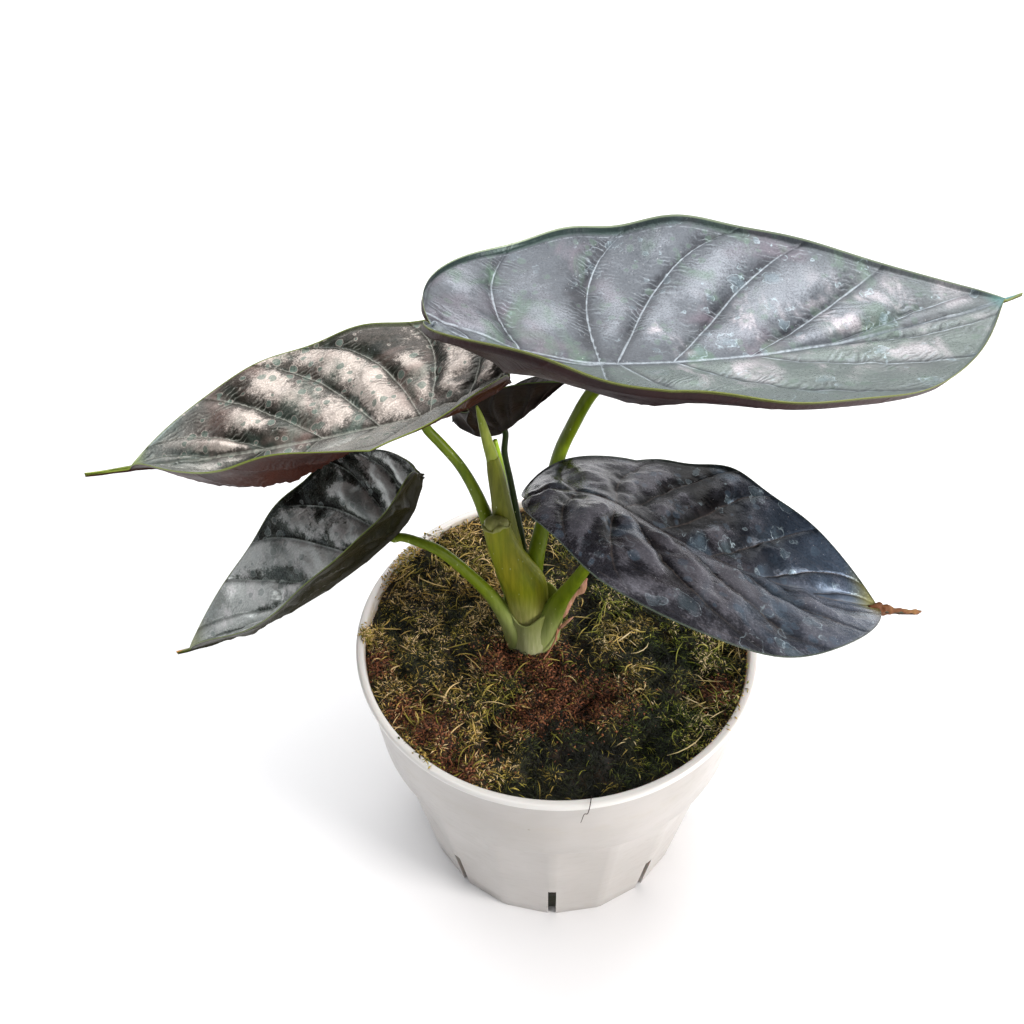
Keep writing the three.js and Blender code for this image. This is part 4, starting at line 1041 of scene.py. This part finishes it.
def stump(finish, lip_finish):
    """The old stem: finely ridged, hipped at the right, with a seam down its front. Its cut
    top rises into a lip at the left and one at the right of the seam and falls away behind;
    a roll follows the edge, and a ribbed fold, notched at the seam, closes it."""
    def swell(share, angle):
        """Ridges, the hip, the seam and a slight flare at the top."""
        ridges = 0.008 * np.sin(34 * angle + 2 * share) * ease(share, 0.05, 0.3)
        hip = 0.04 * bell(angle, 2.9, 0.6) * np.exp(-((share - 0.33) / 0.2) ** 2)
        seam = -0.07 * bell(angle, 1.55, 0.16) * ease(share, 0.6, 0.98)
        flare = 0.03 * ease(share, 0.92, 1)
        return 1 + ridges + hip + seam + flare

    rings, sides = 120, 96
    points, faces, share, angle = rod(STUMP, rings, sides, depth=STUMP_DEPTH, swell=swell, sink=(0, -0.7))
    lift = 1.3 * bell(angle, 0.5, 0.7) + 2.0 * bell(angle, 1.95, 0.5)
    lift = lift - 0.5 * bell(angle, 1.42, 0.2) - 1.2 * bell(angle, 4.6, 1.1)
    # The top closes on its last point, which rises with the edge.
    lift[-1] = 2.7
    points[:, 2] += lift * ease(share, 0.86, 1)
    closed_piece("old_stem", points, faces, finish, "stump")
    ring = points[rings * sides:(rings + 1) * sides]
    turn = np.arange(-12, 54, 3)
    around = turn / sides * 2 * np.pi
    thick = 0.25 + 0.85 * bell(around, 1.8, 0.3) + 0.35 * bell(around, 0.7, 0.4)
    line = np.column_stack([ring[turn % sides], thick]).tolist()
    points, faces, _, _ = rod(line, 120, 12, toward=(0.0, 0.0, 1.0))
    closed_piece("stem_rim", points, faces, lip_finish, "stump")

    def folded(share, angle):
        """Fine ribs, with a notch at the seam and a shallow one behind."""
        return 1 + 0.02 * np.sin(24 * angle) - 0.3 * bell(angle, 1.42, 0.28) - 0.1 * bell(angle, 4.6, 0.5)

    points, faces, _, _ = rod(STEM_CAP, 24, 60, depth=0.86, swell=folded, sink=(0, 0.3))
    closed_piece("stem_cap", points, faces, lip_finish, "stump")


def new_leaf(sheath_finish, spike_finish):
    """The new leaf's ribbed sheath, lapped down its back, and the spike rolled inside it."""
    def ribbed(share, angle):
        """Fine ribs, and the lap where the sheath's edges meet."""
        lap = 0.10 * np.exp(-((angle - 5.0) / 0.35) ** 2)
        return 1 + 0.008 * np.sin(22 * angle) + lap

    points, faces, _, _ = rod(NEW_SHEATH, 90, 72, swell=ribbed, sink=(0, 1.5))
    closed_piece("young_sheath", points, faces, sheath_finish, "new_leaf")

    def rolled(share, angle):
        """A step once a turn, which winds along the spike like a rolled leaf's edge."""
        return 1 + 0.07 * ((angle / (2 * np.pi) + 0.4 * share) % 1) - 0.03

    points, faces, _, _ = rod(NEW_LEAF, 70, 40, swell=rolled)
    closed_piece("young_spike", points, faces, spike_finish, "new_leaf")


def bud_leaf(finish):
    """The short shoot behind the new leaf: a plain rod."""
    points, faces, _, _ = rod(BUD_LEAF, 40, 24)
    closed_piece("bud_shoot", points, faces, finish, "bud_leaf")


def dried_sheath(finish):
    """Papery strip: a flat rod, crinkled and waved both ways, with a torn strand beside it and
    a thread that trails from its foot."""
    def crinkle(share, angle):
        """Waves along the strip's two edges, their length wavering."""
        return 1 + 0.16 * np.sin(34 * share + 2 * np.sin(9 * share)) * np.cos(angle) ** 2

    points, faces, share, _ = rod(DRIED_SHEATH, 90, 20, depth=0.3, swell=crinkle)
    points[:, 1] += 0.6 * np.sin(share * 21) * ease(share, 0, 0.2)
    points[:, 0] += 0.35 * np.sin(share * 26)
    closed_piece("dried_strip", points, faces, finish, "dried_sheath")
    for name, line in (("dried_split", DRIED_SPLIT), ("dried_thread", DRIED_THREAD)):
        points, faces, _, _ = rod(line, 30, 8)
        closed_piece(name, points, faces, finish, "dried_sheath")


def withered_tip(name, finish):
    """The dead drip tip of a blade: a crinkled, flattened rod along its last stretch."""
    leaf = BLADES[name]
    along = leaf["front"] + leaf["drip"] * np.array([-0.22, 0.0, 0.12, 0.3, 0.5, 0.72, 0.88, 1.0])
    flat = np.zeros_like(along)
    line = blade_points(leaf, along[None], flat[None], flat[None] + 1)[0]
    stations = np.column_stack([line, [1.0, 2.4, 2.1, 1.5, 1.1, 0.9, 0.95, 0.35]]).tolist()

    def crinkle(share, angle):
        """Two waves that wind opposite ways round the rod."""
        return 1 + 0.16 * np.sin(26 * share + 2 * angle) + 0.10 * np.sin(47 * share - 3 * angle)

    points, faces, _, _ = rod(stations, 70, 18, depth=0.62, swell=crinkle)
    closed_piece("withered_tip", points, faces, finish, "blade_" + name)


# Soil

# Patches as x, y and radius: bare rust-brown peat, dried straw, and dark cover.
RUST = [
    (-43, -44, 9), (-35, -61, 10), (-52, -37, 7), (-20, -11, 8), (-4, -14, 9), (2, -27, 12),
    (16, -29, 10), (-10, -36, 8), (-66, -16, 6), (58, -24, 6),
]
STRAW = [
    (-23, -30, 9), (-41, 56, 12), (-60, 42, 9), (-72, 2, 4), (25, 7, 9), (66, 2, 8),
    (64, -27, 9), (32, -51, 6), (-26, -62, 6), (48, -41, 7), (-50, -36, 7), (-30, 30, 12),
]
DARK = [
    (12, -56, 22), (2, -69, 14), (-4, -50, 8), (40, -44, 11), (-52, -16, 8), (36, 8, 9),
    (40, -18, 8),
]
# Growth on the rim: seed, middle and spread in degrees, count and lightness.
RIM_TUFTS = [
    (91, 151, 6, 260, 0.85), (95, 141, 5, 140, 0.7), (92, 183, 1.3, 260, 0.95),
    (94, 232, 5, 60, 0.7), (93, 330, 12, 60, 0.75),
]


def near(x, y, blobs):
    """How close a point is to the nearest of some patches: a bell over each, the largest."""
    return np.max([np.exp(-((x - a) ** 2 + (y - b) ** 2) / r ** 2) for a, b, r in blobs], axis=0)


def soil_height(x, y):
    """Level of the soil: slow lumps, calmer at the crown and the edge, a low mound, and a
    rise to the rim that is higher behind."""
    lumps = (1.2 * np.sin(0.13 * x + 0.8) * np.cos(0.11 * y - 1.2) + 0.8 * np.sin(0.21 * x - 0.17 * y + 2.1)
             + 0.5 * np.cos(0.37 * x + 0.31 * y))
    spread = np.hypot(x - CROWN_X, y - CROWN_Y) / 16
    outward = (np.hypot(x, y) / POT["band_top_radius"]) ** 6
    quiet = (1 - 0.6 * np.exp(-spread ** 2)) * (1 - 0.6 * outward)
    rise = 2.4 * outward * (0.7 + 0.3 * y / POT["band_top_radius"])
    return SOIL_LEVEL + lumps * quiet + 1.6 * np.exp(-0.5 * spread ** 2) + rise


def crumb(x, y):
    """Crumb of the soil over its level: four sizes of noise."""
    return (1.5 * cloud(x, y, 10, 8) + 2.0 * cloud(x, y, 5.5, 5) + 1.1 * cloud(x, y, 2.6, 6)
            + 0.45 * cloud(x, y, 1.2, 7))


def crumbs(x, y):
    """Soil height with its crumb, rougher over the rust-brown peat and calmer at the rim."""
    rough = (1 + 0.5 * near(x, y, RUST)) * (1 - 0.6 * ease(np.hypot(x, y), 60, 71))
    return soil_height(x, y) + crumb(x, y) * rough


def soil():
    """The soil as one body: a crumbly top, and a wall and floor just inside the pot."""
    count, rings = 300, 96
    angle = np.arange(count) / count * 2 * np.pi - np.pi / 2
    reach = np.linspace(0.012, 1, rings)[:, None] ** 0.75 * SOIL_EDGE
    x, y = reach * np.cos(angle), reach * np.sin(angle)
    top = np.stack([x, y, crumbs(x, y)], -1)
    wall = np.stack([pot_ring(z, radius, faceted, count) for z, radius, faceted in SOIL_WALL])
    grid = np.concatenate([top, wall])
    middle = crumbs(np.zeros(1), np.zeros(1))[0]
    points = np.vstack([grid.reshape(-1, 3), [[0, 0, middle], [0, 0, SOIL_WALL[-1][0]]]])
    rust = near(points[:, 0], points[:, 1], RUST)
    closed_piece("peat", points, tube(len(grid), count), earth_finish(), "soil", {"rust": rust})


def threads(x, y, z, heading, length, curl, lift, radius, joints, tones):
    """Many thin three-sided threads: each starts at a point, runs level along its heading,
    turning by its curl, while its height follows lift(share); it tapers to both ends."""
    share = np.linspace(0, 1, joints)[None, :]
    turned = heading[:, None] + curl[:, None] * (share - 0.3)
    step = length[:, None] / (joints - 1)
    px = x[:, None] + np.cumsum(np.cos(turned) * step, axis=1) - np.cos(turned[:, :1]) * step
    py = y[:, None] + np.cumsum(np.sin(turned) * step, axis=1) - np.sin(turned[:, :1]) * step
    pz = z[:, None] + lift(share)
    path = np.stack([px, py, pz], -1)
    tangent = unit(np.gradient(path, axis=1))
    across = unit(np.cross(tangent, [0.13, 0.07, 1.0]))
    front = np.cross(across, tangent)
    thick = radius[:, None] * (0.35 + 0.65 * np.sin(np.pi * np.clip(share * 0.86 + 0.1, 0, 1)))
    corner = np.arange(3) / 3 * 2 * np.pi
    grid = (path[:, :, None] + across[:, :, None] * (thick[..., None] * np.cos(corner))[..., None]
            + front[:, :, None] * (thick[..., None] * np.sin(corner))[..., None])
    count = len(x)
    one = strips(joints, 3)
    last = (joints - 1) * 3
    one = np.vstack([one, [[2, 1, 0, 0], [last, last + 1, last + 2, last + 2]]])
    faces = (one[None] + (np.arange(count) * joints * 3)[:, None, None]).reshape(-1, 4)
    reach = np.broadcast_to(share[..., None], (count, joints, 3)).ravel()
    tone = np.repeat(tones, joints * 3)
    field = np.stack([tone, reach, np.zeros_like(tone)], -1)
    return grid.reshape(-1, 3), faces[:, ::-1], field


def scattered(seed, count, weight):
    """Random places on the soil, kept by a weight between 0 and 1, off the crown."""
    draw = np.random.default_rng(seed)
    x, y = draw.uniform(-PLANTED_TO, PLANTED_TO, (2, count * 12))
    kept = (np.hypot(x, y) < PLANTED_TO) & (draw.uniform(0, 1, count * 12) < weight(x, y))
    kept &= np.hypot(x - CROWN_X, y - CROWN_Y) > CROWN_RING
    return x[kept][:count], y[kept][:count], draw


def cover(name, parts, finish, limit=GROWTH_LIMIT):
    """One piece from several sets of growth, none of it farther out than a limit."""
    points, faces, fields, count = [], [], [], 0
    for p, f, field in parts:
        points.append(p)
        faces.append(f + count)
        fields.append(field)
        count += len(p)
    points = np.vstack(points)
    far = np.hypot(points[:, 0], points[:, 1])
    inside = np.minimum(far, limit)
    points[:, :2] *= (inside / np.maximum(far, 1e-6))[:, None]
    piece(name, points, np.vstack(faces), finish, "soil", {"thread": np.vstack(fields)})


def leaflets(x, y, z, heading, length, rise, droop, width, tones, rust):
    """Many small pointed leaflets, each a thin spindle from its root by way of three points
    round its middle, at the rise, to its tip, at the rise times the droop."""
    ahead = np.stack([np.cos(heading), np.sin(heading), np.zeros_like(heading)], -1)
    beside = np.stack([-np.sin(heading), np.cos(heading), np.zeros_like(heading)], -1)
    up = np.array([0.0, 0.0, 1.0])
    root = np.stack([x, y, z], -1)
    middle = root + ahead * (0.5 * length)[:, None] + up * rise[:, None]
    tip = root + ahead * length[:, None] + up * (rise * droop)[:, None]
    side = beside * width[:, None]
    ridge = up * (width * 0.6)[:, None]
    points = np.stack([root, middle + side, middle - side, middle + ridge, tip], 1).reshape(-1, 3)
    one = np.array([[0, 3, 1, 1], [0, 2, 3, 3], [0, 1, 2, 2], [4, 1, 3, 3], [4, 3, 2, 2], [4, 2, 1, 1]])
    faces = (one[None] + 5 * np.arange(len(x))[:, None, None]).reshape(-1, 4)
    reach = np.tile([0.0, 0.6, 0.6, 0.7, 1.0], len(x))
    return points, faces, np.stack([np.repeat(tones, 5), reach, np.repeat(rust, 5)], -1)


def lightness_and_hollow_shade(x, y):
    """How light the cover is: lighter at the left and on the straw, near black in the dark patches,
    and lighter on lumps and near black in the hollows as painted light and shade."""
    light_side = 0.45 + 0.2 * ease(-x, -10, 40) + 0.24 * cloud(x, y, 13, 71) + 0.34 * cloud(x, y, 5, 72)
    light_side = light_side * (1 - 0.85 * near(x, y, DARK)) + 0.35 * near(x, y, STRAW)
    # Painted light and shade: lighter on the soil's lumps, near black in its hollows.
    return np.clip(light_side * (0.08 + 1.35 * ease(crumb(x, y), -2.6, 2.6)), 0.03, 1)


def moss(name, seed, finish):
    """Moss in tufts: leaflets leaning out of each tuft's middle, golden or dark by place."""
    def weight(a, b):
        """Full cover, thinning out to a tenth over the bare peat."""
        return np.clip(1.1 - 1.0 * near(a, b, RUST), 0, 1)

    x, y, draw = scattered(seed, MOSS_TUFTS, weight)
    light_here = lightness_and_hollow_shade(x, y) * draw.uniform(0.55, 1.25, len(x))
    tall = draw.uniform(0.5, 1.3, len(x)) * (1 + 0.5 * cloud(x, y, 5, 81))
    x, y, light_here, tall = (np.repeat(v, LEAFLETS_IN_TUFT) for v in (x, y, light_here, tall))
    n = len(x)
    heading = draw.uniform(0, 2 * np.pi, n)
    off = np.abs(draw.normal(0, 0.9, n))
    x, y = x + off * np.cos(heading), y + off * np.sin(heading)
    tones = np.clip(light_here * 2.2 * draw.uniform(0, 1, n) ** 1.7, 0, 1)
    length = draw.uniform(0.9, 2.6, n) + 2.8 * draw.uniform(0, 1, n) ** 4
    z = crumbs(x, y) - 0.3 + draw.uniform(0, 1.2, n) * tall
    heading = heading + draw.normal(0, 0.6, n)
    rise = draw.uniform(0.1, 1.1, n) * tall
    droop = draw.uniform(0.2, 2.0, n)
    width = draw.uniform(0.10, 0.24, n)
    rust = 1.1 * near(x, y, RUST) * draw.uniform(0, 1, n)
    cover(name, [leaflets(x, y, z, heading, length, rise, droop, width, tones, rust)], finish)


def peat_crumb(finish):
    """Rust-brown crumb: short fat chips heaped in the bare patches, few in the dark ones."""
    def weight(a, b):
        """Nearness to bare peat, less four fifths of it in the middle of the dark cover."""
        return near(a, b, RUST) * (1 - 0.8 * near(a, b, DARK))

    x, y, draw = scattered(61, 9000, weight)
    n = len(x)
    z = crumbs(x, y) - 0.2 + draw.uniform(0, 1.3, n)
    heading = draw.uniform(0, 2 * np.pi, n)
    length = draw.uniform(0.7, 2.4, n)
    rise = draw.uniform(0.0, 0.9, n)
    droop = draw.uniform(0.2, 1.6, n)
    width = draw.uniform(0.15, 0.5, n)
    tones = draw.uniform(0.05, 0.8, n)
    rust = draw.uniform(0.4, 1, n)
    parts = [leaflets(x, y, z, heading, length, rise, droop, width, tones, rust)]
    cover("peat_crumb", parts, finish)


def straw(finish):
    """Dried sphagnum and straw: longer, nearly straight strands, gathered in a few places,
    and fine short fibres over straw and bare peat."""
    def straw_weight(a, b):
        """A few everywhere and most in the straw patches, none in the dark ones."""
        return np.clip((0.05 + 0.6 * near(a, b, STRAW)) * (1 - near(a, b, DARK)), 0, 1)

    def fibre_weight(a, b):
        """A tenth everywhere, all in the middle of a patch of straw or of bare peat."""
        return np.clip(0.1 + 0.9 * near(a, b, RUST + STRAW), 0, 1)

    x, y, draw = scattered(52, 560, straw_weight)
    n = len(x)
    hump = draw.uniform(0.2, 2.0, n)[:, None]
    slant = draw.uniform(-0.6, 1.6, n)[:, None]
    heading = draw.uniform(0, 2 * np.pi, n)
    length = draw.gamma(2.6, 1.9, n) + 2.5
    curl = draw.normal(0, 0.9, n)
    radius = draw.uniform(0.14, 0.34, n)
    tones = draw.uniform(0.45, 1.0, n)
    long_ones = threads(x, y, crumbs(x, y) + 0.9, heading, length, curl,
                        lambda s: hump * np.sin(np.pi * s) + slant * s, radius, 6, tones)
    x, y, draw = scattered(53, 2600, fibre_weight)
    n = len(x)
    lump = draw.uniform(0.2, 1.6, n)[:, None]
    heading = draw.uniform(0, 2 * np.pi, n)
    length = draw.uniform(1.5, 5, n)
    curl = draw.normal(0, 1.5, n)
    radius = draw.uniform(0.08, 0.18, n)
    tones = draw.uniform(0.2, 0.75, n)
    fibres = threads(x, y, crumbs(x, y) + 0.3, heading, length, curl,
                     lambda s: lump * np.sin(np.pi * s), radius, 5, tones)
    fibres[2][:, 2] = near(fibres[0][:, 0], fibres[0][:, 1], RUST)
    cover("straw_and_fibre", [long_ones, fibres], finish)


def rim_growth(finish):
    """Moss that has climbed on to the rim at the back left, a tuft hung over it at the left
    and stray crumbs along it."""
    parts = []
    for seed, middle, spread, count, light_here in RIM_TUFTS:
        draw = np.random.default_rng(seed)
        turn = np.radians(draw.normal(middle, spread, count))
        reach = 72.6 + np.clip(draw.normal(-1.2, 0.9, count), -3.0, 1.6)
        x, y = reach * np.cos(turn), reach * np.sin(turn)
        level = POT["height"] - np.where(reach > GROWTH_LIMIT, 0.1, 2.0)
        z = level + draw.uniform(0, 0.5, count)
        heading = draw.uniform(0, 2 * np.pi, count)
        length = draw.uniform(0.8, 2.6, count)
        rise = draw.uniform(0, 0.6, count)
        droop = draw.uniform(0, 1.2, count)
        width = draw.uniform(0.15, 0.45, count)
        tones = np.clip(light_here * draw.uniform(0.4, 1.2, count), 0, 1)
        rust = draw.uniform(0, 0.35, count)
        parts.append(leaflets(x, y, z, heading, length, rise, droop, width, tones, rust))
    cover("rim_growth", parts, finish, limit=POT["rim_radius"] + 0.1)


def root_hair(finish):
    """A single dark root hair that hangs over the front of the rim."""
    points, faces, share, _ = rod(ROOT_HAIR, 50, 6)
    field = np.stack([np.full_like(share, 0.12), share, np.full_like(share, 0.6)], -1)
    closed_piece("root_hair", points, faces, finish, "soil", {"thread": field})


# Camera, light and the floor

def look_through_camera():
    """Camera in front of the pot, above it, tipped down by its pitch and turned by its yaw
    and roll."""
    pitch, yaw, roll = np.radians([CAMERA["pitch"], CAMERA["yaw"], CAMERA["roll"]])
    ahead = np.array([np.sin(yaw) * np.cos(pitch), np.cos(yaw) * np.cos(pitch), -np.sin(pitch)])
    right = np.array([np.cos(yaw), -np.sin(yaw), 0])
    up = np.cross(right, ahead)
    x = np.cos(roll) * right + np.sin(roll) * up
    y = -np.sin(roll) * right + np.cos(roll) * up
    turned = Matrix(np.column_stack([x, y, -ahead]).tolist())
    camera = bpy.data.cameras.new("camera")
    camera.sensor_width = CAMERA["sensor"]
    camera.lens = CAMERA["sensor"] * CAMERA["focal_length"] / CAMERA["picture"]
    camera.clip_start = 0.01
    held = bpy.data.objects.new("camera", camera)
    held.matrix_world = Matrix.Translation(CAMERA["place"]) @ turned.to_4x4()
    bpy.context.scene.collection.objects.link(held)
    bpy.context.scene.camera = held


def light(name, place, aim, size, power, tint=(1, 1, 1)):
    """A rectangular lamp turned from its place toward its aim; metres and watts."""
    lamp = bpy.data.lights.new(name, "AREA")
    lamp.shape, lamp.size, lamp.size_y = "RECTANGLE", size[0], size[1]
    lamp.energy, lamp.color = power, tint
    held = bpy.data.objects.new(name, lamp)
    held.location = place
    held.rotation_euler = (Vector(aim) - Vector(place)).to_track_quat("-Z", "Y").to_euler()
    bpy.context.scene.collection.objects.link(held)


def studio():
    """Pale floor, a soft sky and broad lamps behind, above and to the right."""
    corners = [(-6000, -6000, 0), (6000, -6000, 0), (6000, 6000, 0), (-6000, 6000, 0)]
    ground = placed("floor", corners, [(0, 1, 2, 3)])
    ground.data.materials.append(Finish("pale floor").surface(paint("f2f2f3"), 0.9))
    world = bpy.data.worlds.new("sky")
    world.use_nodes = True
    world.node_tree.nodes["Background"].inputs[0].default_value = (0.97, 0.98, 1.0, 1)
    world.node_tree.nodes["Background"].inputs[1].default_value = 0.33
    bpy.context.scene.world = world
    light("back sky", (-0.1, 1.3, 1.25), (0, 0, 0.18), (2.4, 1.3), 20)
    light("overhead", (-0.1, 0.1, 1.5), (0, 0, 0.15), (1.5, 1.0), 18)
    light("right window", (1.3, -0.6, 0.7), (0, 0, 0.12), (0.5, 0.7), 26, (1.0, 0.965, 0.94))
    bpy.context.scene.view_settings.view_transform = "Standard"


look_through_camera()
studio()
green = stem_finish("green stalk", "a6b070", "76871c", "566a0c", 117, 143)
dark_green = stem_finish("dark back stalk", "4a521c", "2f3f12", "1f300c", 128, 160)
pale = stem_finish("pale crown", "c4c69c", "98a05c", "888c40", 106, 132, 0.42)
old = stem_finish("old stem green", "c4c07c", "8c9120", "9a9224", 122, 143, 0.42, 1.6)
young = stem_finish("young sheath green", "8a8d2c", "787a20", "606812", 130, 175, 0.42, 1.4)
spike = stem_finish("spike green", "7f8c24", "a0a850", "6c7c18", 180, 205, 0.36)
bright = stem_finish("bright bud", "9dba2a", "b4d43a", "90b12c", 165, 190, 0.4)
lip = stem_finish("pale lip", "a8a66a", "a9ab68", "7f8238", 168, 176, 0.5)
husk = stem_finish("dried husk", "ba7e66", "f0b8a2", "cc866e", 112, 138, 0.7, 1.6)

for order, blade_name in enumerate(BLADES):
    blade(blade_name, seed=10 * order + 3)
for stalk_name in STALKS:
    if stalk_name == "back":
        stalk(stalk_name, dark_green)
    else:
        stalk(stalk_name, green)
pot()
crown(pale)
stump(old, lip)
new_leaf(young, spike)
bud_leaf(bright)
dried_sheath(husk)
withered = stem_finish("withered tip brown", "8a5c38", "6b4128", "9a7048", 150, 160, 0.7, 1.4)
withered_tip("lower_right", withered)
soil()
growth = growth_finish()
moss("moss_low", 31, growth)
moss("moss_high", 32, growth)
peat_crumb(growth)
straw(growth)
rim_growth(growth)
root_hair(growth)

bpy.context.view_layer.update()
